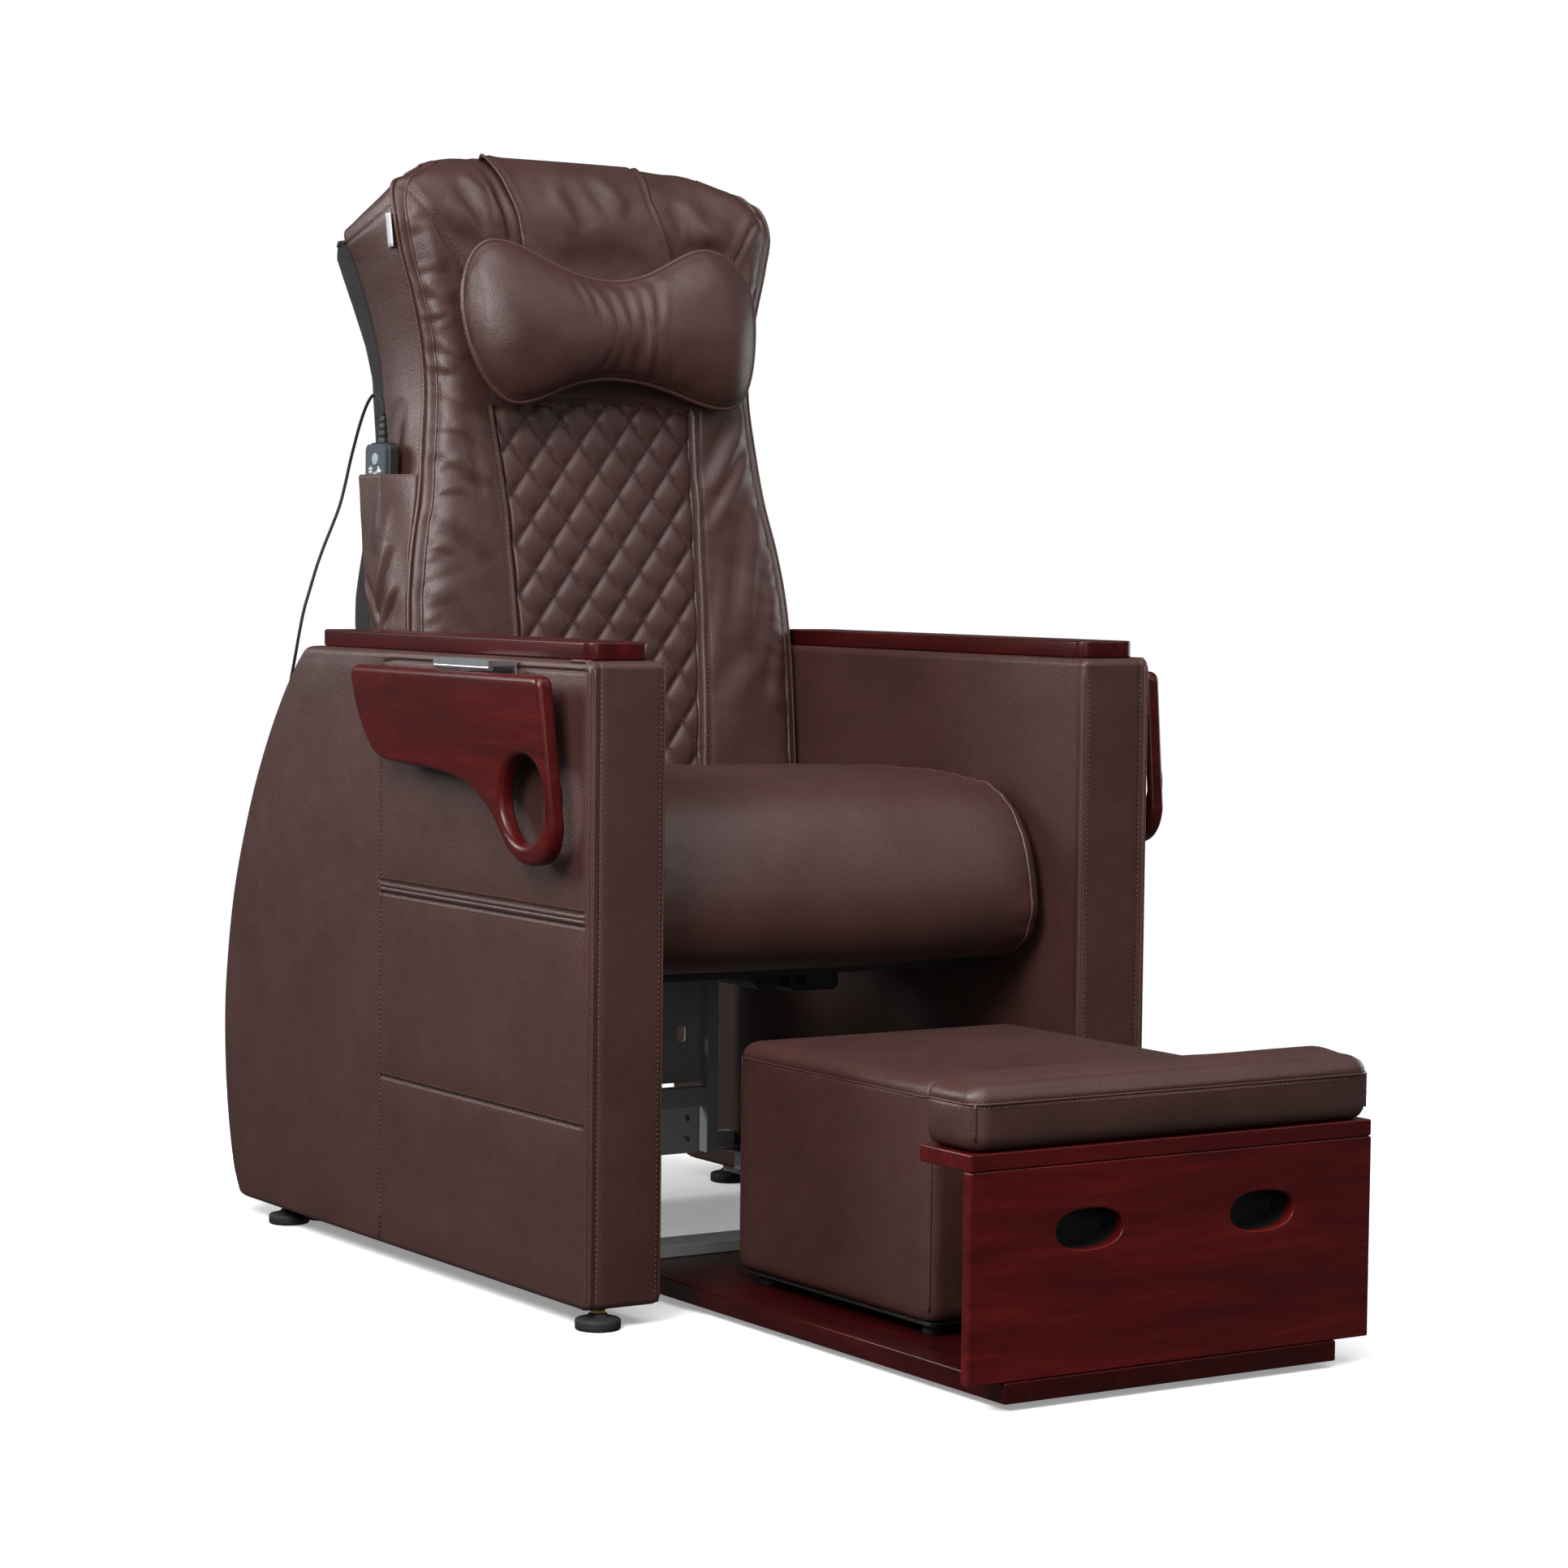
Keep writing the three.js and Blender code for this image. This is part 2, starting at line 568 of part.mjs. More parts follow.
// The cord: up out of the sleeve, over in a small arch, down outside the backrest and into the arm's back.
const GLAND = { x: -289, y: 737.2, z: 466.5, out: 12, r: 6, tilt: THREE.MathUtils.degToRad(28.5) };
const CORD = [
  [RELIEF.x, 627, 881.3],
  [RELIEF.x, 627.5, 889],
  [-229.5, 630.5, 896],
  [-230, 637, 901],
  [-230.5, 646, 901.5],
  [-231, 655, 896],
  [-232, 664, 885],
  [-233, 673, 870],
  [-234, 683, 850],
  [-235.5, 692, 828],
  [-238, 698, 805],
  [-243, 701, 782],
  [-252, 701, 760],
  [-262, 701, 737],
  [-270, 702, 715],
  [-277, 703, 692],
  [-284, 704, 668],
  [-288, 707, 643],
  [-289.5, 714, 617],
  [-289.5, 726, 588],
  [-289, 741, 560],
  [-289, 757, 533],
  [-289, 770, 512],
  [-289, 776.5, 497],
  [-289, 774, 488],
  [-289, 766, 482.5],
];

function cordTube() {
  const nose = new THREE.Vector3(GLAND.x, GLAND.y + GLAND.out * Math.cos(GLAND.tilt), 0);
  nose.z = GLAND.z + GLAND.out * Math.sin(GLAND.tilt);
  const out = new THREE.Vector3(0, Math.cos(GLAND.tilt), Math.sin(GLAND.tilt));
  const end = nose.clone().addScaledVector(out, GAP);
  const points = CORD.map((p) => new THREE.Vector3(...p));
  points.push(end.clone().addScaledVector(out, 4), end);
  const curve = new THREE.CatmullRomCurve3(points, false, "centripetal");
  const section = new THREE.Shape();
  for (let i = 0; i < 8; i++) {
    const angle = (i / 8) * 2 * Math.PI;
    const at = [CORD_R * Math.cos(angle), CORD_R * Math.sin(angle)];
    if (i === 0) section.moveTo(...at);
    else section.lineTo(...at);
  }
  return new THREE.ExtrudeGeometry(section, { steps: 60, extrudePath: curve });
}
add("handset_cord", cordTube(), rubber());

function gland() {
  const profile = [
    [0, 0],
    [9, 0],
    [9, 4],
    [GLAND.r, 5],
    [GLAND.r - 1.5, GLAND.out],
    [0, GLAND.out],
  ].map(([r, z]) => new THREE.Vector2(r, z));
  const bush = new THREE.LatheGeometry(profile, 12);
  bush.rotateX(GLAND.tilt);
  return bush.translate(GLAND.x, GLAND.y, GLAND.z);
}
add("cord_gland", gland(), blackPlastic());

// ---- flip-up trays ----

function trayOutline() {
  const shape = new THREE.Shape();
  shape.moveTo(410, 618);
  shape.quadraticCurveTo(423, 618, 422, 604);
  shape.bezierCurveTo(416, 574, 390, 526, 354, 524);
  shape.bezierCurveTo(312, 520, 252, 522, 204, 514);
  shape.bezierCurveTo(154, 506, 128, 482, 108, 458);
  shape.quadraticCurveTo(89, 438, 60, 438);
  shape.bezierCurveTo(30, 438, 15, 450, 13, 478);
  shape.lineTo(30, 606);
  shape.quadraticCurveTo(31, 618, 43, 618);
  shape.lineTo(410, 618);
  shape.holes.push(disc(TRAY.cupY, TRAY.cupZ, TRAY.cupR));
  return shape;
}

// A box on one side of the chair, from its distances out from the middle.
const sideBlock = (side, [near, far], y, z) => block(side < 0 ? [-far, -near] : [near, far], y, z);

// Each tray hangs beside its arm, leaning in at the foot, and turns up about the barrel of its hinge.
for (const [side, word] of [
  [-1, "left"],
  [1, "right"],
]) {
  const { axisX, axisZ, thick, lean } = TRAY;
  const hang = (geometry) => {
    geometry.translate(-side * axisX, 0, -axisZ);
    geometry.rotateY(side * THREE.MathUtils.degToRad(lean));
    return geometry.translate(side * axisX, 0, axisZ);
  };
  const centre = side * axisX;
  const board = extrude(trayOutline(), "x", centre - thick / 2, centre + thick / 2, 4, 7);
  add(`${word}_tray`, hang(board), wood());
  const back = axisX - thick / 2 - GAP;
  add(`${word}_tray_leaf`, hang(sideBlock(side, [back - 3, back], [140, 246], [586, 616])), steel());
  const plate = sideBlock(side, [ARM_OUT + GAP, ARM_OUT + 3], [137, 250], [604, 629.5]);
  const flange = sideBlock(side, [ARM_OUT + 2, axisX + 3], [137, 250], [624, 629.5]);
  const barrel = rod("y", centre, axisZ, 2.8, 138, 249, 8);
  add(`${word}_tray_hinge`, join(plate, flange, barrel), steel());
}

// ---- pull-out foot bench ----

function benchPanel() {
  const board = rounded(-BENCH.half, BENCH.half, BENCH.panelLow, BENCH.panelHigh, 1.5);
  for (const side of [-1, 1]) {
    const r = HAND_HOLE.high / 2;
    const x = side * HAND_HOLE.x;
    board.holes.push(
      rounded(x - HAND_HOLE.long / 2, x + HAND_HOLE.long / 2, HAND_HOLE.z - r, HAND_HOLE.z + r, r - 0.1),
    );
  }
  return extrude(board, "y", BENCH.front, BENCH.front + BENCH_PANEL_THICK, 0, 8);
}
add("bench_front_panel", benchPanel(), wood());
const topOutline = rounded(-BENCH.half, BENCH.half, BENCH.front, BENCH.rear, 2);
add("bench_top_board", extrude(topOutline, "z", BENCH.panelHigh + GAP, BENCH.boardHigh, 1, 3), wood());
const boardOutline = rounded(-BASE_BOARD.half, BASE_BOARD.half, BASE_BOARD.front, BASE_BOARD.rear, 3);
add("bench_base_board", extrude(boardOutline, "z", BASE_BOARD.low, BASE_BOARD.high, 1, 3), wood());
const padOutline = rounded(-222, 222, BENCH.front, BENCH.rear - 1, 10);
add("bench_cushion", extrude(padOutline, "z", BENCH.boardHigh + GAP, 281, 7, 4), leather());
for (const [side, word] of [
  [-1, "left"],
  [1, "right"],
]) {
  const glide = rod("z", side * 150, -430, 11, 0, BASE_BOARD.low - GAP, 10);
  add(`${word}_bench_glide`, glide, rubber());
  const { out, front, rear, low, high, wall, in: inner } = SLIDE_RAIL;
  const channel = polygon([
    [inner, low],
    [out, low],
    [out, high],
    [inner, high],
    [inner, high - wall],
    [out - wall, high - wall],
    [out - wall, low + wall],
    [inner, low + wall],
  ].map(([x, z]) => [side * x, z]));
  add(`${word}_slide_rail`, extrude(channel, "y", front, rear), steel());
}

// Two upright ribs and a batten hold the bench's top board behind its front panel.
function benchBrace() {
  const y = [BENCH.front + BENCH_PANEL_THICK + GAP, BENCH.rear - 3];
  const ribs = [-1, 1].map((s) => block([s * 169 - 9, s * 169 + 9], y, [BENCH.panelLow, BENCH.panelHigh]));
  return join(...ribs, block([-165, 165], [y[0], y[0] + 16], [BENCH.panelHigh - 16, BENCH.panelHigh]));
}
add("bench_brace", benchBrace(), wood());

// The carriage bar crosses the base board's rear end. Its shoes run in the arms' slide rails.
function carriageBar() {
  const y = [CARRIAGE.front, CARRIAGE.rear];
  const bar = block([-CARRIAGE.half - 1, CARRIAGE.half + 1], y, [CARRIAGE.low, CARRIAGE.high]);
  const shoes = [-236.3, 236.3].map((x) => block([x - 6.2, x + 6.2], y, [24.2, 44.2]));
  return join(bar, ...shoes);
}
add("carriage_bar", carriageBar(), greyPaint());

// ---- stool ----

const stoolOutline = rounded(STOOL.left, STOOL.right, STOOL.front, STOOL.rear, STOOL.corner);
add("stool_body", extrude(stoolOutline, "z", STOOL.low, STOOL.high, 6, 4), leather());

// The stool's bottom board and its four feet.
function stoolBase() {
  const { left, right, front, rear, low } = STOOL;
  const plate = block([left + 6, right - 6], [front + 6, rear - 6], [low - 4, low - GAP]);
  const feet = [left + 26, right - 26].flatMap((x) =>
    [front + 26, rear - 26].map((y) => rod("z", x, y, 11, BASE_BOARD.high + GAP, low - 2, 10)),
  );
  return join(plate, ...feet);
}
add("stool_base", stoolBase(), rubber());

// The object's own origin is on the floor, under the middle of its box.
const box = new THREE.Box3();
for (const mesh of chair.children) {
  if (mesh.name !== "handset_cord") box.expandByObject(mesh);
}
const middle = box.getCenter(new THREE.Vector3());
chair.position.set(-middle.x, -middle.y, 0);

const root = new THREE.Group();
root.add(chair);

export default root;
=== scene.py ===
import math

import bmesh
import bpy
import numpy as np
from mathutils import Matrix, Vector

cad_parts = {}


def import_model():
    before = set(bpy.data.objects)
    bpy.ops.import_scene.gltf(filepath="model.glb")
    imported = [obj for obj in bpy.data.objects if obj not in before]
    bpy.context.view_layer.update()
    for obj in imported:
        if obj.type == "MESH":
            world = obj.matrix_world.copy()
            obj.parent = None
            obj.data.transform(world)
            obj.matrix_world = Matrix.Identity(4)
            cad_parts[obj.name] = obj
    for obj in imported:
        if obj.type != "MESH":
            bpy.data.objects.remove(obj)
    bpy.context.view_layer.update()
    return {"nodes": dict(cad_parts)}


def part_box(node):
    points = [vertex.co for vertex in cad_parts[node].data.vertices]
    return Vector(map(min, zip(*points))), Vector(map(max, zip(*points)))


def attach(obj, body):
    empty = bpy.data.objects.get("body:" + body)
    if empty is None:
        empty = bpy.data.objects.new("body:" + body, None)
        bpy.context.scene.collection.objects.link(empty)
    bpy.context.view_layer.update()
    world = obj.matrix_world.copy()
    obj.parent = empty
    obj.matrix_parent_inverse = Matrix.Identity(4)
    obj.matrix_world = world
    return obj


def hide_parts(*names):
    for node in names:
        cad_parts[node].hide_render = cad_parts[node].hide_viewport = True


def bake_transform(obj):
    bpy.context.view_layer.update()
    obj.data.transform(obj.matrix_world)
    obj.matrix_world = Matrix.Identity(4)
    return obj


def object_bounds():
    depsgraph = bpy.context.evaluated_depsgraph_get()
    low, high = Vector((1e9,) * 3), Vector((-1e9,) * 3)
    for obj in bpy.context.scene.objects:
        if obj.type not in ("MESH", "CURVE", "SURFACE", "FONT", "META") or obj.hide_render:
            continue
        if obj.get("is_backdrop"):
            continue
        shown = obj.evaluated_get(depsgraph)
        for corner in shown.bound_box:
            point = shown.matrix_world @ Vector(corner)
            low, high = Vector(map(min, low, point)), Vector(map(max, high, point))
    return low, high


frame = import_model()
nodes = frame["nodes"]

# Lengths are in millimetres. Depths are measured back from the front faces of the arms.
MM = 0.001
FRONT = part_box("left_arm_panel")[0].y


def row(points):
    """Millimetres behind the arms' front faces, as metres in the row frame."""
    p = np.array(points, float) * MM
    p[..., 1] += FRONT
    return p


def place(x, y, z):
    return Vector(row((x, y, z)))


# ---- camera ----

def make_camera():
    yaw, pitch, roll = math.radians(32.96), math.radians(3.35), math.radians(0.68)
    ahead = Vector((math.sin(yaw) * math.cos(pitch), math.cos(yaw) * math.cos(pitch), -math.sin(pitch)))
    level = Vector((math.cos(yaw), -math.sin(yaw), 0))
    upright = level.cross(ahead)
    right = level * math.cos(roll) + upright * math.sin(roll)
    up = upright * math.cos(roll) - level * math.sin(roll)
    data = bpy.data.cameras.new("camera")
    data.lens = 88.64
    data.sensor_width = 36
    data.clip_start, data.clip_end = 0.1, 50
    camera = bpy.data.objects.new("camera", data)
    camera.matrix_world = Matrix.Translation(place(-2134.73, -3116.26, 730.83)) @ Matrix(
        (right, up, -ahead)
    ).transposed().to_4x4()
    bpy.context.scene.collection.objects.link(camera)
    bpy.context.scene.camera = camera


make_camera()


# ---- shaping tools ----

def curve_of(stations, values):
    """A smooth curve through values at rising stations."""
    xs, ys = np.array(stations, float), np.array(values, float)
    slopes = np.gradient(ys, xs)

    def value(x):
        x = np.clip(x, xs[0], xs[-1])
        i = np.clip(np.searchsorted(xs, x, side="right") - 1, 0, len(xs) - 2)
        h = xs[i + 1] - xs[i]
        t = (x - xs[i]) / h
        from_left = (1 + 2 * t) * (1 - t) ** 2 * ys[i] + t * (1 - t) ** 2 * h * slopes[i]
        from_right = t * t * (3 - 2 * t) * ys[i + 1] + t * t * (t - 1) * h * slopes[i + 1]
        return from_left + from_right

    return value


def bezier(a, b, c, d, count=24):
    t = np.linspace(0, 1, count)[:, None]
    a, b, c, d = (np.array(p, float) for p in (a, b, c, d))
    return (1 - t) ** 3 * a + 3 * t * (1 - t) ** 2 * b + 3 * t * t * (1 - t) * c + t ** 3 * d


def quadratic(a, b, c, count=10):
    a, b, c = (np.array(p, float) for p in (a, b, c))
    return bezier(a, a + (b - a) * 2 / 3, c + (b - c) * 2 / 3, c, count)


def chain(*runs):
    """Runs of points end to end, without the doubled points."""
    points = [np.array(runs[0][0], float)]
    for p in np.vstack(runs):
        if np.linalg.norm(p - points[-1]) > 1e-6:
            points.append(p)
    return np.array(points)


def through(points, per=8):
    """A smooth path through points, as a centripetal Catmull-Rom spline."""
    p = np.array(points, float)
    p = np.vstack([2 * p[0] - p[1], p, 2 * p[-1] - p[-2]])
    out = []
    for i in range(1, len(p) - 2):
        a, b, c, d = p[i - 1 : i + 3]
        ta = 0.0
        tb = ta + np.linalg.norm(b - a) ** 0.5
        tc = tb + np.linalg.norm(c - b) ** 0.5
        td = tc + np.linalg.norm(d - c) ** 0.5
        for t in np.linspace(tb, tc, per, endpoint=False):
            ab = (tb - t) / (tb - ta) * a + (t - ta) / (tb - ta) * b
            bc = (tc - t) / (tc - tb) * b + (t - tb) / (tc - tb) * c
            cd = (td - t) / (td - tc) * c + (t - tc) / (td - tc) * d
            abc = (tc - t) / (tc - ta) * ab + (t - ta) / (tc - ta) * bc
            bcd = (td - t) / (td - tb) * bc + (t - tb) / (td - tb) * cd
            out.append((tc - t) / (tc - tb) * abc + (t - tb) / (tc - tb) * bcd)
    out.append(p[-2])
    return np.array(out)


def lengths(path):
    """How far along a path each of its points is."""
    return np.concatenate([[0], np.cumsum(np.linalg.norm(np.diff(path, axis=0), axis=1))])


def resample(path, step):
    path = np.array(path, float)
    s = lengths(path)
    at = np.linspace(0, s[-1], max(2, int(round(s[-1] / step)) + 1))
    return np.stack([np.interp(at, s, path[:, k]) for k in range(path.shape[1])], axis=1)


def stations(low, high, step, marks=(), fine=(0, 0.8, 1.7, 2.8, 4.2, 6)):
    """Places from low to high about a step apart, and closer together beside each mark."""
    near = {m + s * f for m in marks for f in fine for s in (-1, 1)}
    near = sorted(v for v in near if low < v < high)
    coarse = np.linspace(low, high, int((high - low) / step) + 2)
    kept = [v for v in coarse if all(abs(v - n) > step * 0.45 for n in near) or v in (low, high)]
    return np.array(sorted(set(kept) | set(near)))


def unit(value):
    """A value kept between 0 and 1."""
    return np.clip(value, 0, 1)


def eased(t):
    """A share from 0 to 1 that starts and ends slowly."""
    return t * t * (3 - 2 * t)


def before(off, blur):
    """One where off is below zero and nothing above it, with a soft step between."""
    return 1 / (1 + np.exp(off / blur))


def grid(*axes):
    """Points from coordinates, each an array or one number for all of them."""
    return np.stack(np.broadcast_arrays(*axes), axis=-1).astype(float)


HASH, SCRAMBLE = (73856093, 19349663, 83492791), 1274126177


def clouds(axes, size, seed):
    """Smooth noise from -1 to 1 at coordinates, with lumps of the given size."""
    q = grid(*axes) / size + 17.31 * (seed + 1)
    cell = np.floor(q).astype(np.int64)
    f = eased(q - cell)
    total = 0
    for corner in np.ndindex(*(2,) * len(axes)):
        key = sum((cell[..., k] + c) * HASH[k] for k, c in enumerate(corner))
        key = (key ^ (key >> 13)) * SCRAMBLE
        value = ((key ^ (key >> 16)) & 0xFFFF) / 32767.5 - 1
        weight = np.prod([f[..., k] if c else 1 - f[..., k] for k, c in enumerate(corner)], axis=0)
        total = total + weight * value
    return total


def line_distance(a, b, path):
    """How far points (a, b) are from a path in the same plane, and how far along it the nearest place is."""
    path = np.array(path, float)
    s = lengths(path)
    best, along = np.full(np.shape(a), 1e9), np.zeros(np.shape(a))
    for i in range(len(path) - 1):
        p, d = path[i], path[i + 1] - path[i]
        t = unit(((a - p[0]) * d[0] + (b - p[1]) * d[1]) / (d @ d))
        off = np.hypot(a - p[0] - t * d[0], b - p[1] - t * d[1])
        nearer = off < best
        best = np.where(nearer, off, best)
        along = np.where(nearer, s[i] + t * math.sqrt(d @ d), along)
    return best, along


def bell(distance, width):
    return np.exp(-((distance / width) ** 2))


def fold(a, b, start, end, width, height):
    """A soft ridge from start to end with a hollow on one side, fading at both ends."""
    d = np.array(end, float) - start
    size = np.hypot(*d)
    t = ((a - start[0]) * d[0] + (b - start[1]) * d[1]) / size ** 2
    off = ((a - start[0]) * d[1] - (b - start[1]) * d[0]) / size
    fade = unit(1 - (2 * t - 1) ** 2) ** 0.7
    return height * fade * (bell(off, width) - 0.8 * bell(off - 1.5 * width, width * 0.8))


def folded(a, b, folds):
    """All the folds together, each with its start, end, width and height."""
    return sum(fold(a, b, *about) for about in folds)


# ---- mesh tools ----

def skin(rings, closed=True, caps=True):
    """Vertices and faces over rings with the same number of points each."""
    rings = np.array(rings, float)
    count, n = rings.shape[:2]
    index = np.arange(count * n).reshape(count, n)
    right = np.roll(index, -1, axis=1) if closed else index[:, 1:]
    left = index if closed else index[:, :-1]
    quads = np.stack([left[:-1], right[:-1], right[1:], left[1:]], axis=-1).reshape(-1, 4)
    faces = quads.tolist()
    if closed and caps:
        faces += [index[0].tolist()[::-1], index[-1].tolist()]
    return rings.reshape(-1, 3), faces


def tube(path, radius, sides=8, closed=False):
    """Vertices and faces of a round tube along a path. The radius may vary along it."""
    path = np.array(path, float)
    if closed:
        along = np.roll(path, -1, axis=0) - np.roll(path, 1, axis=0)
    else:
        along = np.gradient(path, axis=0)
    along /= np.linalg.norm(along, axis=1)[:, None]
    side = np.cross(along[0], (0.31, 0.17, 0.93))
    sides_at = []
    for t in along:
        side = side - t * (side @ t)
        side /= np.linalg.norm(side)
        sides_at.append(side)
    across = np.array(sides_at)
    other = np.cross(along, across)
    angle = np.arange(sides) / sides * 2 * math.pi
    r = np.broadcast_to(np.asarray(radius, float), (len(path),))[:, None, None]
    spokes = np.cos(angle)[None, :, None] * across[:, None] + np.sin(angle)[None, :, None] * other[:, None]
    rings = path[:, None] + spokes * r
    if closed:
        rings = np.concatenate([rings, rings[:1]])
    return skin(rings, caps=not closed)


def stitches(path, normals, pitch=5.0, length=3.4, wide=0.9, high=0.7):
    """Thread stitches laid along a path on a surface with the given normals."""
    path, normals = np.array(path, float), np.broadcast_to(np.array(normals, float), np.shape(path))
    s = lengths(path)
    count = max(1, int(s[-1] / pitch))
    middle = (np.arange(count) + 0.5) * s[-1] / count

    def at(values, where):
        return np.stack([np.interp(where, s, values[:, k]) for k in range(3)], axis=1)

    a, b = at(path, middle - length / 2), at(path, middle + length / 2)
    up = at(normals, middle)
    up /= np.linalg.norm(up, axis=1)[:, None]
    across = np.cross(b - a, up)
    across /= np.linalg.norm(across, axis=1)[:, None] + 1e-9
    mid = (a + b) / 2
    ring = [across * wide / 2, up * high, -across * wide / 2, -up * high]
    points = np.stack([a, b] + [mid + r for r in ring], axis=1).reshape(-1, 3)
    faces = []
    for k in range(count):
        o = 6 * k
        for i in range(4):
            p, q = o + 2 + i, o + 2 + (i + 1) % 4
            faces += [[o, q, p], [o + 1, p, q]]
    return points, faces


def cleaned(mesh, weld=None):
    """The mesh with smooth faces turned out, after points closer than weld are joined."""
    shaped = bmesh.new()
    shaped.from_mesh(mesh)
    if weld is not None:
        bmesh.ops.remove_doubles(shaped, verts=shaped.verts, dist=weld)
    bmesh.ops.recalc_face_normals(shaped, faces=shaped.faces)
    shaped.to_mesh(mesh)
    shaped.free()
    mesh.polygons.foreach_set("use_smooth", [True] * len(mesh.polygons))
    return mesh


def add_piece(name, mesh, material, body, replaces=(), sharp=None):
    """A mesh as a named piece riding on a body and standing for frame nodes."""
    if sharp is not None:
        mesh.set_sharp_from_angle(angle=math.radians(sharp))
    mesh.materials.clear()
    mesh.materials.append(material)
    made = bpy.data.objects.new(name, mesh)
    bpy.context.scene.collection.objects.link(made)
    if body is not None:
        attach(made, body)
    if replaces:
        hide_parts(*replaces)
    return made


def piece(name, parts, material, body, replaces=(), sharp=None, weld=None):
    """One named piece made of parts, each its vertices and faces in millimetres."""
    points, faces, start = [], [], 0
    for verts, polygons in parts:
        points.append(verts)
        faces += [[i + start for i in f] for f in polygons]
        start += len(verts)
    mesh = bpy.data.meshes.new(name)
    mesh.from_pydata(row(np.vstack(points)).tolist(), [], faces)
    return add_piece(name, cleaned(mesh, weld), material, body, replaces, sharp)


def modifier(made, kind, **settings):
    added = made.modifiers.new(kind.lower(), kind)
    for key, value in settings.items():
        setattr(added, key, value)
    return added


# ---- materials ----

class Finish:
    """A procedural material: textures in the object's own space that feed one shader."""

    def __init__(self, name, **sockets):
        self.material = bpy.data.materials.new(name)
        self.material.use_nodes = True
        self.tree = self.material.node_tree
        self.shader = self.tree.nodes["Principled BSDF"]
        for key, value in sockets.items():
            self.shader.inputs[key.replace("_", " ")].default_value = value
        self.space = self.tree.nodes.new("ShaderNodeTexCoord").outputs["Object"]
        self.normal = None

    def node(self, kind, inputs=(), **settings):
        made = self.tree.nodes.new("ShaderNode" + kind)
        for key, value in settings.items():
            setattr(made, key, value)
        for key, value in dict(inputs).items():
            if isinstance(value, bpy.types.NodeSocket):
                self.tree.links.new(value, made.inputs[key])
            else:
                made.inputs[key].default_value = value
        return made

    def stretched(self, scale):
        return self.node("Mapping", {"Vector": self.space, "Scale": scale}).outputs[0]

    def noise(self, scale, detail=3.0, rough=0.55, space=None, distortion=0.0):
        inputs = {"Vector": space or self.space, "Scale": scale, "Detail": detail, "Roughness": rough,
                  "Distortion": distortion}
        return self.node("TexNoise", inputs).outputs[0]

    def cells(self, scale, feature="F1"):
        made = self.node("TexVoronoi", {"Vector": self.space, "Scale": scale}, feature=feature)
        return made.outputs["Distance"]

    def ramp(self, value, *stops):
        made = self.node("ValToRGB", {"Fac": value})
        marks = made.color_ramp.elements
        while len(marks) < len(stops):
            marks.new(0.5)
        for mark, (at, color) in zip(marks, stops):
            mark.position = at
            mark.color = (*color, 1)
        return made.outputs["Color"]

    def spread(self, value, low, high):
        """A texture's value from 0 to 1, put between low and high."""
        return self.node("MapRange", {"Value": value, "To Min": low, "To Max": high}).outputs[0]

    def color(self, output):
        self.tree.links.new(output, self.shader.inputs["Base Color"])
        return self

    def roughness(self, output):
        self.tree.links.new(output, self.shader.inputs["Roughness"])
        return self

    def bump(self, height, distance, strength=1.0):
        inputs = {"Height": height, "Distance": distance, "Strength": strength}
        if self.normal is not None:
            inputs["Normal"] = self.normal
        self.normal = self.node("Bump", inputs).outputs[0]
        self.tree.links.new(self.normal, self.shader.inputs["Normal"])
        return self


def leather(name, dark, light, rough=(0.40, 0.56), soft=0.0012):
    """Smooth synthetic leather: fine pebbled grain, faint creasing and a satin face."""
    f = Finish(name, Specular_IOR_Level=0.56)
    tone = f.noise(11, 6, 0.6)
    f.color(f.ramp(tone, (0.28, dark), (0.72, light)))
    f.roughness(f.spread(f.noise(55, 4), *rough))
    f.bump(f.noise(38, 3, 0.5), soft, 0.35)
    f.bump(f.cells(560, "SMOOTH_F1"), 0.0003, 0.7)
    f.bump(f.noise(1500, 2), 0.0001, 0.35)
    return f.material


WOOD_STAIN = [(0.030, 0.0017, 0.0022), (0.055, 0.0030, 0.0032), (0.094, 0.0064, 0.0050)]


def lacquered_wood(name, stretch, tone=1.0):
    """Red mahogany stain under satin lacquer, with its grain along the board."""
    # tone scales the stain: below 1 it paints shade into the wood, above 1 it paints light on it.
    stain = [tuple(tone * c for c in color) for color in WOOD_STAIN]
    f = Finish(name, Coat_Weight=0.12, Coat_Roughness=0.16, Specular_IOR_Level=0.22)
    long = f.stretched(stretch)
    figure = f.noise(3.2, 7, 0.62, long, 0.8)
    pores = f.noise(60, 3, 0.6, long)
    shares = {0: f.spread(figure, 0.0, 0.8), 1: f.spread(pores, 0.0, 0.2)}
    blend = f.node("Math", shares, operation="ADD").outputs[0]
    f.color(f.ramp(blend, *zip((0.30, 0.52, 0.74), stain)))
    f.roughness(f.spread(f.noise(20, 4), 0.26, 0.38))
    f.bump(pores, 0.00005, 0.5)
    f.bump(f.noise(14, 2), 0.0006, 0.12)
    return f.material


def moulded(name, dark, light, rough=(0.42, 0.55), grain=900, depth=0.00006):
    f = Finish(name, Specular_IOR_Level=0.45)
    f.color(f.ramp(f.noise(40, 4), (0.3, dark), (0.7, light)))
    f.roughness(f.spread(f.noise(120, 3), *rough))
    f.bump(f.noise(grain, 2), depth, 0.7)
    return f.material


def metal(name, dark, light, rough=(0.28, 0.42), stretch=(1, 1, 30)):
    f = Finish(name, Metallic=1.0)
    brushed = f.noise(60, 3, 0.6, f.stretched(stretch))
    f.color(f.ramp(brushed, (0.3, dark), (0.7, light)))
    f.roughness(f.spread(brushed, *rough))
    f.bump(brushed, 0.00005, 0.5)
    return f.material


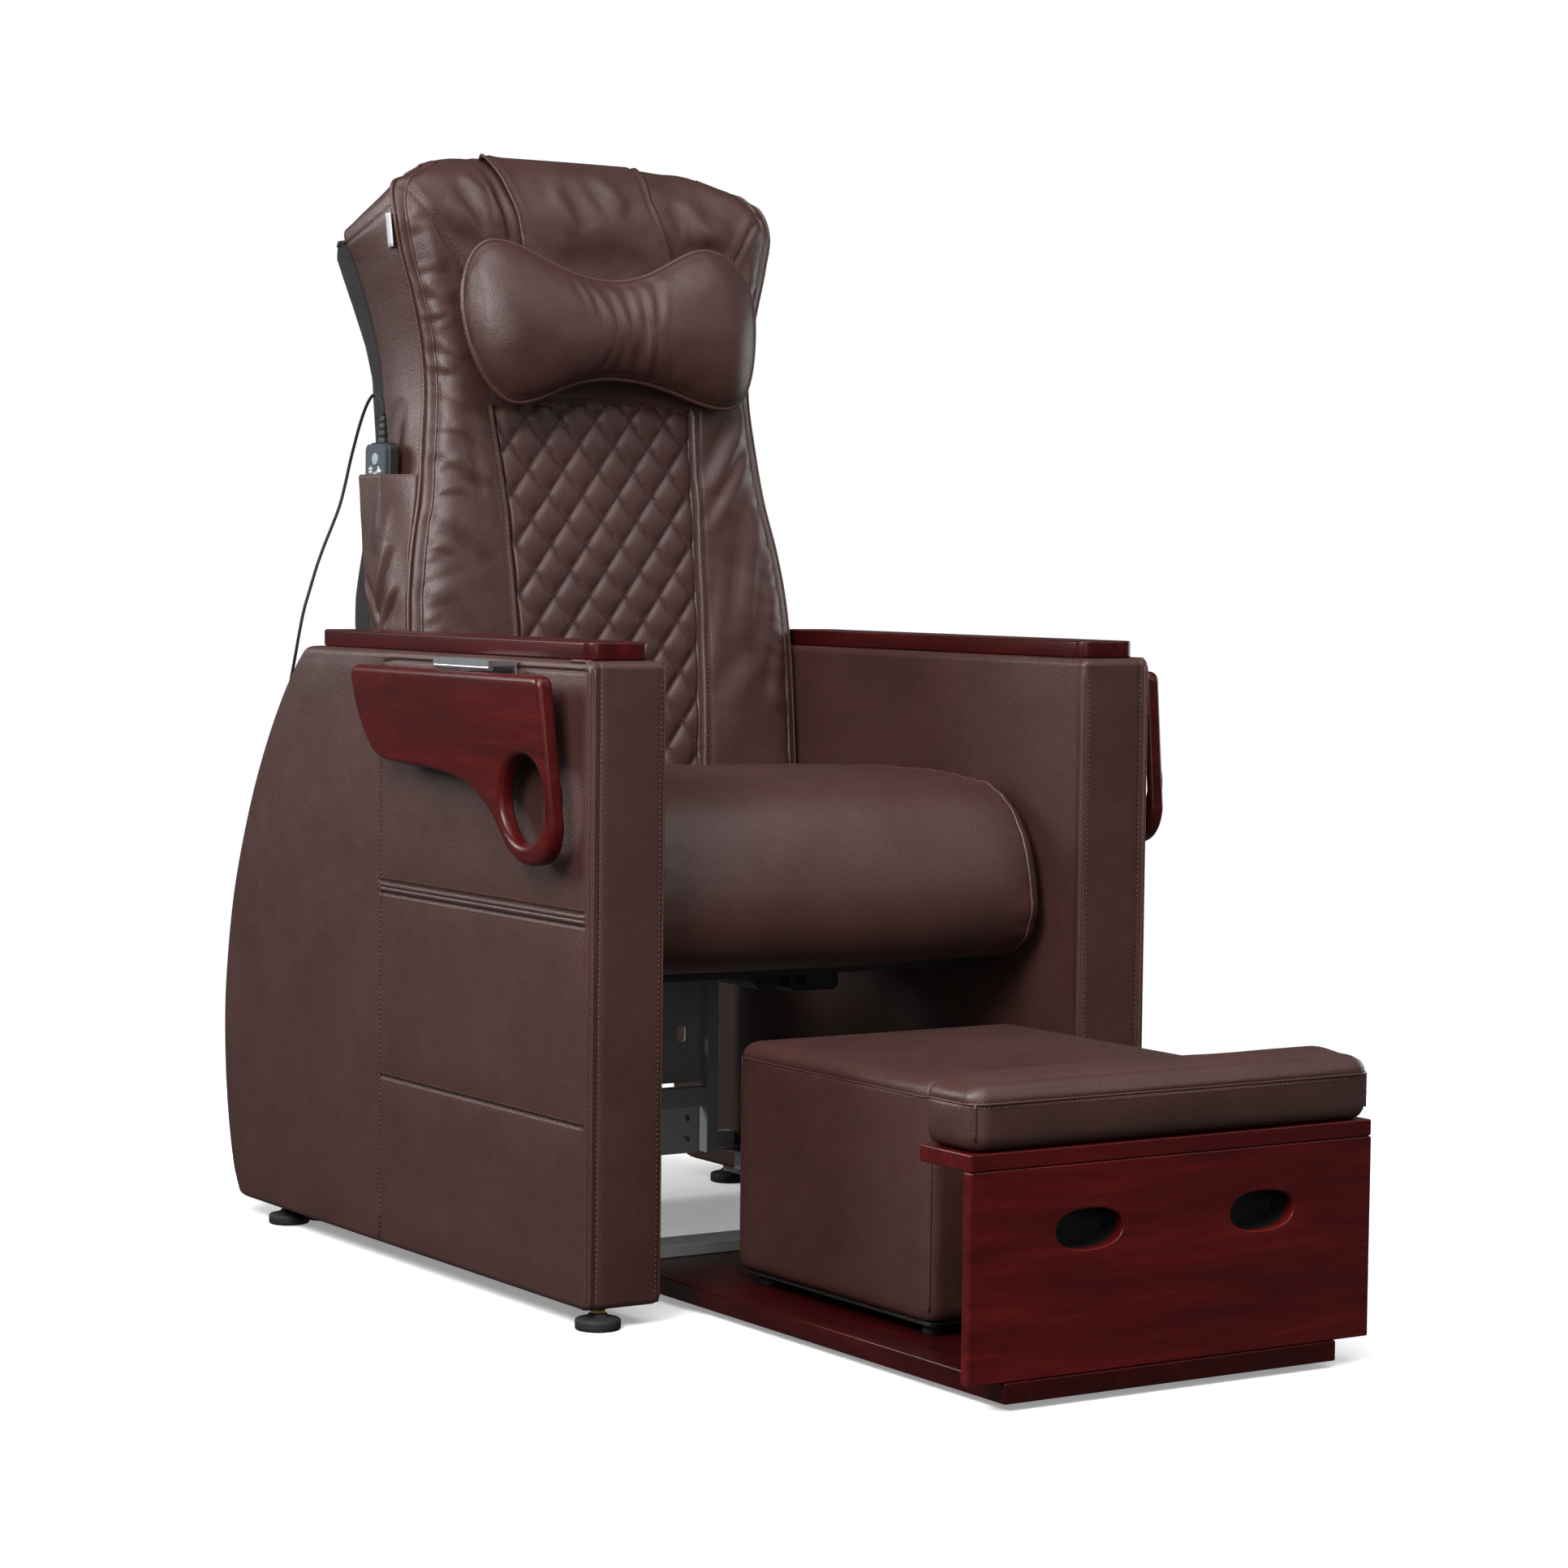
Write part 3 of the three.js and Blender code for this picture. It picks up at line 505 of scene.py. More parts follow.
def painted(name, dark, light):
    f = Finish(name, Specular_IOR_Level=0.4)
    f.color(f.ramp(f.noise(14, 5), (0.3, dark), (0.7, light)))
    f.roughness(f.spread(f.noise(50, 4), 0.42, 0.6))
    f.bump(f.noise(700, 2), 0.00008, 0.5)
    return f.material


def woven(name, dark, light):
    f = Finish(name, Sheen_Weight=0.1, Specular_IOR_Level=0.2)
    f.color(f.ramp(f.noise(30, 5), (0.3, dark), (0.7, light)))
    f.roughness(f.spread(f.noise(80, 3), 0.82, 0.95))
    f.bump(f.cells(420), 0.0004, 0.6)
    f.bump(f.noise(12, 3), 0.002, 0.25)
    return f.material


def thread_finish():
    f = Finish("thread", Specular_IOR_Level=0.3)
    f.color(f.ramp(f.noise(90, 3), (0.3, (0.11, 0.047, 0.029)), (0.7, (0.21, 0.098, 0.060))))
    f.roughness(f.spread(f.noise(300, 2), 0.6, 0.75))
    f.bump(f.noise(2500, 1), 0.0001, 0.6)
    return f.material


LEATHER = leather("leather", (0.039, 0.0129, 0.0102), (0.056, 0.0202, 0.0166))
PIPING = leather("piping_leather", (0.052, 0.019, 0.015), (0.076, 0.030, 0.025), (0.34, 0.46), 0.0003)
WOOD_Y = lacquered_wood("wood_along_arm", (14, 1.6, 14))
# A lighter copy of the same stain for the bench boards: painted light.
WOOD_X_LIT = lacquered_wood("wood_across_bench_painted_light", (1.6, 14, 14), 1.25)
# Darker copies of the same stain for the caps and the base board: painted shade.
CAP_WOOD_SHADED = lacquered_wood("wood_of_caps_painted_shade", (14, 1.6, 14), 0.75)
BASE_WOOD_SHADED = lacquered_wood("wood_of_base_painted_shade", (14, 1.6, 14), 0.5)
THREAD = thread_finish()
# Near-black leather for tubes laid in seam grooves: painted shadow in the seams.
SEAM_SHADOW = moulded("painted_seam_shadow", (0.008, 0.0032, 0.0028), (0.012, 0.005, 0.0045), (0.7, 0.85), 2000)
# The quilting thread's colour, darkened so the stitched lines also carry painted shade of the quilt grooves.
QUILT_THREAD_AND_SHADE = moulded("quilt_thread_darkened_for_shade", (0.020, 0.0072, 0.0058), (0.034, 0.0125, 0.0100), (0.6, 0.7), 2000)
PLASTIC = moulded("black_plastic", (0.009, 0.0095, 0.0105), (0.014, 0.0148, 0.016))
RUBBER = moulded("rubber", (0.006, 0.006, 0.0062), (0.011, 0.011, 0.0115), (0.6, 0.8), 500, 0.0001)
HANDSET_FACE = moulded("handset_face", (0.034, 0.045, 0.056), (0.048, 0.062, 0.076), (0.35, 0.5))
KEYS = moulded("keys", (0.24, 0.28, 0.33), (0.34, 0.38, 0.43), (0.45, 0.6))
PRINT = moulded("light_print", (0.62, 0.66, 0.7), (0.72, 0.75, 0.78), (0.4, 0.5))
LABEL = moulded("blank_label", (0.46, 0.48, 0.51), (0.55, 0.57, 0.6), (0.4, 0.6), 1200)
GREY = painted("grey_paint", (0.27, 0.285, 0.275), (0.34, 0.355, 0.345))
# The frame's grey paint made near-black for the seat frame: painted shade under the seat.
GREY_PAINTED_SHADE = painted("grey_paint_darkened_for_shade", (0.020, 0.021, 0.022), (0.032, 0.033, 0.034))
LIGHT_GREY = painted("light_grey_paint", (0.42, 0.44, 0.43), (0.5, 0.52, 0.51))
STEEL = metal("steel", (0.36, 0.37, 0.38), (0.52, 0.53, 0.54))
HINGE = metal("hinge_steel", (0.52, 0.55, 0.58), (0.72, 0.75, 0.78), (0.22, 0.4), (1, 30, 1))
ALUMINIUM = metal("aluminium", (0.5, 0.51, 0.53), (0.64, 0.65, 0.67), (0.25, 0.4), (1, 30, 1))
BRASS = metal("brass", (0.50, 0.33, 0.11), (0.66, 0.46, 0.18), (0.25, 0.4), (1, 1, 1))
CLOTH = woven("black_cloth", (0.006, 0.006, 0.0066), (0.012, 0.012, 0.0128))
PLY = painted("plywood", (0.33, 0.19, 0.085), (0.45, 0.27, 0.13))


# ---- the handset's cord ----

RELIEF_X = -228
GLAND = Vector((-289, 737.2, 466.5))
GLAND_OUT, GLAND_TILT = 12, math.radians(28.5)
CORD_DIAMETER = 3.5
GAP = 0.3
CORD_POINTS = [
    (RELIEF_X, 627, 881.3), (RELIEF_X, 627.5, 889), (-229.5, 630.5, 896), (-230, 637, 901),
    (-230.5, 646, 901.5), (-231, 655, 896), (-232, 664, 885), (-233, 673, 870), (-234, 683, 850),
    (-235.5, 692, 828), (-238, 698, 805), (-243, 701, 782), (-252, 701, 760), (-262, 701, 737),
    (-270, 702, 715), (-277, 703, 692), (-284, 704, 668), (-288, 707, 643), (-289.5, 714, 617),
    (-289.5, 726, 588), (-289, 741, 560), (-289, 757, 533), (-289, 770, 512), (-289, 776.5, 497),
    (-289, 774, 488), (-289, 766, 482.5),
]


def make_cord():
    out = Vector((0, math.cos(GLAND_TILT), math.sin(GLAND_TILT)))
    nose = GLAND + out * (GLAND_OUT + GAP)
    route = through(CORD_POINTS + [tuple(nose + out * 4), tuple(nose)], 10)
    cord = piece("cord", [tube(route, CORD_DIAMETER / 2, 12)], RUBBER, None, ["handset_cord"])
    place(-230, 660, 885)
    place(-289, 776, 500)
    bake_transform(cord)
    line = row(route)


make_cord()


# ---- arms ----

ARM_OUT, ARM_THICK, ARM_BOTTOM, ARM_TOP = 332, 86, 20, 632.5
ARM_SEAM_Y, ARM_SEAM_HIGH, ARM_SEAM_LOW = 428, 389.5, 194
ARM_EDGE, ARM_CORNER, ARM_BASE = 8.0, 7.0, 1.4
ARM_WELT = 6.2

arm_rear = chain(
    quadratic((748, 20), (767, 20), (771, 30)),
    bezier((771, 30), (796, 74), (806, 150), (805, 217)),
    bezier((805, 217), (803, 400), (690, 560), (608, 630)),
    quadratic((608, 630), (605, 632.5), (583, 632.5)),
)
ARM_SEAM = chain(
    np.array([(3, 622.5), (400, 622.5)]),
    quadratic((400, 622.5), (427, 622), (428, 596)),
    np.array([(428, 596), (428, 90)]),
    quadratic((428, 90), (428, 50), (421, 20)),
)


def rounding(inside, radius):
    """How far a rounded edge draws in at a distance inside it."""
    d = np.clip(inside, 0, radius)
    return radius - np.sqrt(np.maximum(radius ** 2 - (radius - d) ** 2, 0))


def arm_ends(z):
    """How far a height is clear of the arm's foot and of its top, as shares."""
    return unit((z - ARM_BOTTOM) / 60), unit((ARM_TOP - z) / 40)


def outer_side(y, z):
    """How proud the leather of the arm's outer side stands, with its seams drawn in."""
    main, _ = line_distance(y, z, ARM_SEAM)
    forward = before(y - ARM_SEAM_Y, 1.5)
    high, low = np.abs(z - ARM_SEAM_HIGH), np.abs(z - ARM_SEAM_LOW)
    nearest = np.minimum(main, np.where(y < ARM_SEAM_Y, np.minimum(high, low), 1e3))
    out = 1.7 * (1 - np.exp(-nearest / 16)) - 3.4 * bell(main, 1.5)
    out = out + forward * (-2.6 * bell(low, 1.3) + 1.5 * np.exp(-((z - ARM_SEAM_HIGH) / 4.6) ** 4))
    out = out - forward * 2.0 * (bell(high - ARM_WELT, 1.2) + 0.5 * bell(z - ARM_SEAM_HIGH + 0.3, 0.9))
    pucker = clouds((y, z), 9, 3) * np.exp(-nearest / 9) * 0.35
    return out + pucker + 0.35 * clouds((y, z), 70, 5)


def arm_rings(side):
    c, inner_end, outer_end = ARM_CORNER, 470, 446
    front_u = stations(c, ARM_THICK - c, 5, (13,), (0, 1, 2.2))
    inner_y = stations(c, inner_end, 9)
    seam_y = stations(c, outer_end, 6.5, (ARM_SEAM_Y,))[::-1]
    rear_share = np.linspace(0, 1, 40)[:0:-1]
    inner_share = np.linspace(0, 1, 22)[1:]
    turn = np.linspace(0, math.pi / 2, 7)[1:-1]
    sine, cosine = c * np.sin(turn), c * np.cos(turn)
    marks = (ARM_SEAM_HIGH - ARM_WELT, ARM_SEAM_HIGH, ARM_SEAM_HIGH + ARM_WELT, ARM_SEAM_LOW, 622.5)
    levels = np.unique(np.concatenate([
        stations(ARM_BOTTOM, ARM_TOP, 6.5, marks), ARM_TOP - np.array([0.15, 0.5, 1, 1.8, 2.8, 4, 5.5, 7]),
        ARM_BOTTOM + np.array([0.3, 1, 2, 3.5, 5.5]),
    ]))
    rings = []
    for z in levels:
        draw = rounding(ARM_TOP - z, ARM_EDGE) + rounding(z - ARM_BOTTOM, 6)
        rear = np.interp(z, arm_rear[:, 1], arm_rear[:, 0]) - 0.4 * draw
        u0, u1 = draw, ARM_THICK - draw
        lift = np.prod(arm_ends(z))
        u = u0 + c + (front_u - c) * (u1 - u0 - 2 * c) / (ARM_THICK - 2 * c)
        front = draw - 1.6 * np.sin((u - u0) / (u1 - u0) * math.pi) * lift - 0.4 * clouds((u, z), 60, 8)
        middle = inner_end + draw
        inner = np.concatenate([draw + inner_y, middle + inner_share * (rear - c - middle)])
        back_u = np.linspace(u1 - c, u0 + c, 9)
        back = rear + 2.5 * np.sin((back_u - u0) / (u1 - u0) * math.pi) * lift
        outer = np.concatenate([
            outer_end + rear_share * (rear - c - outer_end), seam_y + draw * (1 - seam_y / outer_end)
        ])
        proud = outer_side(outer, z) * unit(lift * 2)
        belly = 1.8 * unit((outer - 450) / 120) * unit((rear - outer) / 60) * lift
        flat = np.vstack([
            grid(u, front + 1.2 * bell(u - 13, 1.2)),
            grid(u1 - c + sine, draw + c - cosine),
            grid(u1 + 1.0 * clouds((inner, z), 90, 2) * lift - 1.0, inner),
            grid(u1 - c + cosine - 1, rear - c + sine),
            grid(back_u, back),
            grid(u0 + c - sine + ARM_BASE, rear - c + cosine),
            grid(u0 + ARM_BASE - proud - belly, outer),
            grid(u0 + c - cosine + 0.5 * ARM_BASE, draw + c - sine),
        ])
        rings.append(grid(side * (ARM_OUT - flat[:, 0]), flat[:, 1], z))
    return rings


def on_arm(side, line, lift=0.45):
    """A line of (y, z) points laid on the arm's outer side."""
    y, z = np.array(line, float).T
    proud = outer_side(y, z) * unit(np.minimum(*arm_ends(z)) * 2)
    return grid(side * (ARM_OUT - ARM_BASE + proud + lift), y, z)


def arm_thread(side):
    """The stitching on one arm, row by row."""
    out = (side, 0, 0)
    rows = []
    for z in (ARM_SEAM_HIGH - 9.6, ARM_SEAM_HIGH + 9.6, ARM_SEAM_LOW + 3.6):
        rows.append(stitches(on_arm(side, grid(np.linspace(8, 423, 90), z)), out, wide=1.1))
    edge = resample([(y - 4.0, z) for y, z in ARM_SEAM if 24 < z < 600], 5)
    rows.append(stitches(on_arm(side, edge), out, wide=1.0))
    z = np.linspace(30, 612, 120)
    for u, wide in ((13.5, 0.9), (ARM_THICK - 7.5, 0.7)):
        bow = 1.6 * math.sin(u / ARM_THICK * math.pi) * np.prod(arm_ends(z), axis=0)
        y = -bow - 0.4 * clouds((u, z), 60, 8) + (1.1 if u < 20 else 0) - 0.35
        rows.append(stitches(grid(side * (ARM_OUT - u), y, z), (0, -1, 0), wide=wide))
    return rows


def arm_seam_shadows(side):
    """Dark tubes laid in the seam grooves of one arm's outer side: painted shadow where the leather turns in at
    its seams.
    """
    upright = resample([(y, z) for y, z in ARM_SEAM if 24 < z < 616], 4)
    across = [[(8, z), (425, z)] for z in (ARM_SEAM_LOW, ARM_SEAM_HIGH - ARM_WELT, ARM_SEAM_HIGH + ARM_WELT)]
    folds = [tube(on_arm(side, resample(run, 4), 0.15), 0.55, 6) for run in across]
    return [tube(on_arm(side, upright, 2.3), 0.8, 6)] + folds


def arm_piping(side):
    """Welts up the front's outer edge and over the top, and up its inner edge."""
    runs = []
    for u, y in ((3.0, 2.2), (7.2, 0.1)):
        x = side * (ARM_OUT - u)
        path = [(x, y + 4, 21.5), (x, y, 29), (x, y, 622), (x, y + 3.2, 629), (x, y + 8, ARM_TOP - 0.4),
                (x, 40, ARM_TOP - 0.2 - 0.5 * (u < 5))]
        runs.append(tube(resample(path, 3), 1.35, 8))
    x = side * (ARM_OUT - ARM_THICK + 2.2)
    path = [(x, 5, 22), (x, 1.9, 30), (x, 1.9, 616), (x + side * 0.6, 5, 625), (x + side * 1.5, 14, 629.5),
            (x + side * 1.5, 560, 629.5)]
    runs.append(tube(resample(path, 4), 1.2, 8))
    return runs


for side, word in ((-1, "left"), (1, "right")):
    arm = piece(f"{word}_arm", [skin(arm_rings(side))], LEATHER, "base", [f"{word}_arm_panel"])
    piece(f"{word}_arm_stitching", arm_thread(side), THREAD, "base")
    piece(f"{word}_arm_piping", arm_piping(side), PIPING, "base")
    # Dark tubes in each arm's seam grooves: painted shadow.
    piece(f"{word}_arm_seam_shadows", arm_seam_shadows(side), SEAM_SHADOW, "base")


# ---- seat ----

SEAT_HALF = 240
SEAT_END = 15
seat_outline = chain(
    np.array([(90, 324), (164, 324), (164, 345.5), (462, 345.5), (498, 470), (500, 486)]),
    quadratic((500, 486), (496, 496), (470, 500), 6),
    bezier((470, 500), (380, 512), (240, 512), (150, 504), 40),
    bezier((150, 504), (95, 498), (66, 455), (54, 412), 24),
    bezier((54, 412), (42, 372), (52, 338), (90, 324), 24),
)[:-1]


def inward(outline):
    """Unit vectors pointing into a closed outline that turns left."""
    along = np.roll(outline, -1, axis=0) - np.roll(outline, 1, axis=0)
    along /= np.linalg.norm(along, axis=1)[:, None]
    return np.stack([-along[:, 1], along[:, 0]], axis=-1)


def dense(outline, step):
    return resample(np.vstack([outline, outline[:1]]), step)[:-1]


seat_section = dense(seat_outline, 4.5)
section_y, section_z = seat_section.T
SEAT_UNDER = (section_z < 350) & (section_y > 88) | (section_y > 455) & (section_z < 480)


def seat_ring(x, extra=0.0):
    inside = SEAT_HALF - abs(x)
    draw = rounding(inside, SEAT_END) + 0.8 * bell(inside - SEAT_END - 1, 2.2)
    share = 1 - (x / SEAT_HALF) ** 2
    free = np.where(SEAT_UNDER, 0, 1) * unit((480 - section_y) / 60)
    near = np.exp(-np.abs(inside - SEAT_END) / 22)
    s = lengths(seat_section)
    pucker = near * clouds((s, x * 0.25), 11, 12) * 1.1
    lump = clouds((s, x), 85, 4) * 1.6
    proud = free * (6.5 * share ** 0.8 - 3.5 + pucker + lump)
    moved = seat_section + inward(seat_section) * (draw - proud - extra)[:, None]
    return grid(x, *moved.T)


def make_seat():
    ends = [0, 0.25, 0.9, 2, 3.6, 5.6, 8, 11] + [SEAT_END + d for d in (-1.6, 0, 1, 2, 3.4, 5.5, 8, 12)]
    left = np.array(ends) - SEAT_HALF
    xs = np.concatenate([left, np.linspace(34 - SEAT_HALF, SEAT_HALF - 34, 64), -left[::-1]])
    rings = [seat_ring(x) for x in xs]
    seat = piece("seat_cushion_cover", [skin(rings)], LEATHER, "base", ["seat_cushion"])
    welts = []
    for side in (-1, 1):
        loop = seat_ring(side * (SEAT_HALF - SEAT_END - 1), 0.9)
        shown = loop[~SEAT_UNDER]
        first = int(np.argmax(np.linalg.norm(np.diff(shown, axis=0), axis=1))) + 1
        if np.linalg.norm(shown[first] - shown[first - 1]) > 30:
            shown = np.roll(shown, -first, axis=0)
        welts.append(tube(shown, 1.7, 8))
    piece("seat_piping", welts, PIPING, "base")


make_seat()


# ---- backrest ----

BACK = np.array([
    (470, 504, 239), (653, 528, 241), (683, 532, 239), (738, 540, 231), (792, 548, 219), (846, 556, 212),
    (920, 564, 206), (956, 566, 209), (1002, 568, 218), (1057, 571, 232), (1094, 573, 238), (1117, 583, 236),
    (1138, 598, 222), (1150, 614, 200), (1156, 628, 178),
], float)
back_s = lengths(BACK[:, [1, 0]])
back_z, back_y, back_half = (curve_of(back_s, BACK[:, k]) for k in range(3))
BACK_LENGTH = back_s[-1]
BAND = 13
WAIST = curve_of([470, 651, 720, 810, 890], [104, 113, 114.5, 118, 124])
QUILT_WIDE, QUILT_HIGH, QUILT_TOP = 44.0, 55.0, 899.0
LEFT_TOP_SEAM = through([(-224, 1140), (-209, 1104), (-187, 1071), (-165, 1038), (-150, 1000)], 8)
RIGHT_TOP_SEAM = through([(236, 1130), (204, 1097), (182, 1064), (160, 1030), (146, 1000)], 8)


def panel_centre(z):
    """Where the middle of the quilted panel is at a height."""
    return -5 * unit((z - 780) / 110)


def board_y(z):
    """Where the rear of the padding meets the board behind it."""
    return 600 + (z - 480) * 96 / 603


def crown_share(z):
    """How far a height is up the last rounding of the backrest's top, as a share."""
    return unit((z - 1120) / 36)


def rear_y(z):
    return np.where(z <= 1117, board_y(z), np.interp(z, [1117, 1138, 1150, 1156], [701.4, 696, 684, 672]))


def quilt(x, z):
    """How proud the padded diamonds stand between their stitched lines."""
    steep = math.hypot(1 / QUILT_WIDE, 1 / QUILT_HIGH)
    a, b = x / QUILT_WIDE + z / QUILT_HIGH, x / QUILT_WIDE - z / QUILT_HIGH
    off_a, off_b = np.abs(a - np.round(a)) / steep, np.abs(b - np.round(b)) / steep
    flat = (1 - np.exp(-off_a / 3.4)) * (1 - np.exp(-off_b / 3.4))
    return 4.4 * flat + 1.6 * np.abs(np.sin(math.pi * a) * np.sin(math.pi * b)) ** 0.8


def quilt_top(x):
    return QUILT_TOP - 11 * (x / 125) ** 2


BOLSTER_FOLDS = [
    # start, end, width, height
    ((-194, 908), (-146, 884), 7, 2.4), ((-199, 868), (-168, 862), 4, 1.5), ((-203, 846), (-140, 806), 8, 2.6),
    ((-206, 800), (-172, 800), 4, 1.3), ((-210, 786), (-142, 728), 10, 2.6), ((-216, 742), (-188, 736), 5, 1.6),
    ((-224, 716), (-150, 640), 12, 2.4), ((-198, 936), (-176, 926), 5, 2.0), ((-202, 962), (-158, 940), 6, 2.4),
    ((-206, 984), (-184, 990), 4, 1.8), ((-150, 880), (-134, 760), 9, 2.6), ((-208, 664), (-140, 590), 15, 2.0),
    ((-212, 1022), (-176, 1002), 7, 2.2), ((-186, 880), (-160, 850), 5, 1.6), ((-180, 770), (-140, 690), 7, 1.8),
    ((196, 900), (140, 800), 11, 4.2), ((203, 860), (134, 755), 8, 2.8), ((200, 790), (168, 640), 13, 3.2),
    ((218, 740), (200, 600), 12, 2.6), ((196, 930), (150, 905), 7, 3.0), ((186, 620), (140, 560), 13, 1.8),
    ((206, 965), (165, 950), 6, 2.6), ((226, 660), (205, 560), 9, 2.2), ((150, 720), (128, 600), 8, 1.6),
    ((-180, 1110), (-130, 1060), 12, 4.0), ((-150, 1140), (-118, 1085), 9, 4.5),
    ((-205, 1085), (-190, 1030), 9, 3.0), ((118, 1130), (150, 1080), 12, 4.0),
    ((112, 1090), (175, 1085), 12, 3.0), ((150, 1140), (215, 1120), 12, 2.6),
    ((205, 1070), (196, 1010), 10, 2.4), ((-120, 1150), (-100, 1060), 6, -5.0),
]


def front_relief(x, z, half):
    """How proud the backrest's front stands at x and height z, for padding of that half width."""
    wide = WAIST(z)
    off = np.abs(x - panel_centre(z)) - wide
    inside = before(off, 0.9)
    panel = inside * before(z - quilt_top(x), 0.9)
    out = panel * (-4.5 + quilt(x, z) * (0.55 + 0.45 * unit(-off / 14)))
    span = unit((np.abs(x) - wide) / (half - BAND - wide))
    bolster = 7.0 * np.sin(math.pi * np.clip(span, 0.001, 0.999)) ** 0.8
    out = out + (1 - inside) * bolster * (0.35 + 0.65 * unit((1040 - z) / 140))
    open_seam = np.where(z < quilt_top(x) + 4, 1, 0.0)
    out = out - open_seam * (6.5 * bell(off, 1.7) - 2.4 * bell(off - 5.2, 2.8) + 1.9 * bell(off - 10, 1.5))
    top_gap = np.abs(z - quilt_top(x))
    out = out - np.where(off < 2, 1, 0) * 4.0 * bell(top_gap, 2.0)
    for seam in (LEFT_TOP_SEAM, RIGHT_TOP_SEAM):
        d, _ = line_distance(x, z, seam)
        out = out - 2.6 * bell(d, 2.0) + 1.2 * bell(d - 7, 5)
    for start, end, width, height in BOLSTER_FOLDS:
        out = out + (1 - panel) * fold(x, z, start, end, width * 1.1, height * (0.75 if width < 8 else 1))
    rim = np.clip(half - BAND - np.abs(x), 0, 80)
    pull = z + 0.35 * np.abs(x), 0.18 * np.abs(x)
    out = out + (1 - panel) * np.exp(-rim / 15) * unit(rim / 3) * 1.7 * clouds(pull, 9, 24)
    out = out + (1 - panel) * np.exp(-rim / 45) * unit(rim / 8) * 1.6 * clouds(pull, 19, 25)
    upper = unit((z - 930) / 60)
    out = out + (1 - panel) * (1.6 * clouds((x, z), 60, 21) + 0.7 * clouds((x, z), 24, 22)) * (0.6 + upper)
    return out + panel * 0.5 * clouds((x, z), 90, 30)


def back_front(x, s):
    """A point on the backrest's front at x, a distance s up its face, and its outward direction."""
    z0, y0, half = back_z(s), back_y(s), back_half(s)
    above, under = np.minimum(s + 1, BACK_LENGTH), np.maximum(s - 1, 0)
    dy, dz = back_y(above) - back_y(under), back_z(above) - back_z(under)
    size = np.hypot(dy, dz)
    ny, nz = -dz / size, dy / size
    roll = rounding(np.clip(half - BAND - np.abs(x), 0, 26) + 1.5, 27.5) * 0.42
    out = front_relief(x, z0, half) - roll
    top = crown_share(z0)
    out = out * (1 - 0.65 * top) + 4.0 * top * np.cos(np.clip(x / half, -1, 1) * math.pi / 2)
    return grid(x, y0 + ny * out, z0 + nz * out), grid(0 * x, ny, nz)


def side_rear(z, half):
    """How far out the rear of the padding's side stands."""
    return half - 6 + 8 * unit((z - 780) / 120)


def slope_top(points):
    """Points near the top, with its rear corners drawn down so that each side's top slopes to the rear."""
    points = np.array(points, float)
    side = unit((np.abs(points[:, 0]) - 158) / 66)
    rear = unit((points[:, 1] - 602) / 96)
    points[:, 2] -= np.clip(points[:, 2] - 1046, 0, None) * 0.50 * eased(side) * rear ** 0.85
    return points


def side_seam(side, z, half, front):
    """Where the band's side seam is at a height, for a front face at that depth."""
    return np.array([side * (half - 1.5), front + min(15.0, (float(rear_y(z)) - front) * 0.3), z])


def band_rows(face, seam, side):
    """Points across the band between its front seam and its side seam."""
    t = np.linspace(0, 1, 6)[1:-1, None]
    return face + (seam - face) * t + np.array([0.8 * side, -0.8, 0]) * np.sin(t * math.pi) * 1.6


def back_rings():
    rings = []
    fine = np.array([0, 0.9, 1.9, 3, 4.3, 6])
    mirror = np.array([-1, 1, 1])
    for s in np.concatenate([np.arange(0, 444, 2.9), np.linspace(444, BACK_LENGTH, 84)]):
        z, half, y0 = float(back_z(s)), float(back_half(s)), float(back_y(s))
        limit = half - BAND
        left, right = (panel_centre(z) + sign * float(WAIST(z)) for sign in (-1, 1))
        left_marks = np.concatenate([left - fine[::-1] * 1.6, left + fine[1:]])
        right_marks = np.concatenate([right - fine[::-1], right + fine[1:] * 1.6])
        x = np.concatenate([
            np.linspace(-limit, left_marks[0], 26, endpoint=False), left_marks,
            np.linspace(left_marks[-1], right_marks[0], 80)[1:-1], right_marks,
            np.linspace(right_marks[-1], limit, 27)[1:],
        ])
        face, _ = back_front(x, np.full_like(x, s))
        seam = side_seam(1, z, half, y0)
        far = np.array([side_rear(z, half), float(rear_y(z)), z])
        t = np.linspace(0, 1, 22)
        wall = seam + (far - seam) * t[:, None]
        wave = np.sin(t * math.pi)
        swell = wave * (3.0 * (1 - unit((z - 1117) / 39))) - 2.2 * bell(t * np.linalg.norm(far - seam), 2.0)
        swell = swell + 0.8 * clouds((wall[:, 1], z), 45, 40) * wave
        top_line = 1100 - (wall[:, 1] - 577) * 0.12
        wall[:, 0] += swell - 1.6 * bell(z - top_line, 2.2)
        back = grid(np.linspace(far[0], -far[0], 18)[1:-1], far[1], z)
        rings.append(slope_top(np.vstack([
            face, band_rows(face[-1], seam, 1), wall, back, (wall * mirror)[::-1],
            band_rows(face[0], seam * mirror, -1)[::-1],
        ])))
    last = rings[-1]
    middle = (last[:, 1].min() + last[:, 1].max()) / 2
    for angle in np.linspace(0, math.pi / 2, 5)[1:]:
        inner = last.copy()
        inner[:, 1] = middle + (last[:, 1] - middle) * max(math.cos(angle), 0.05)
        inner[:, 2] += 3.5 * math.sin(angle) * np.sin(unit((200 - np.abs(last[:, 0])) / 90) * math.pi / 2)
        rings.append(inner)
    return rings


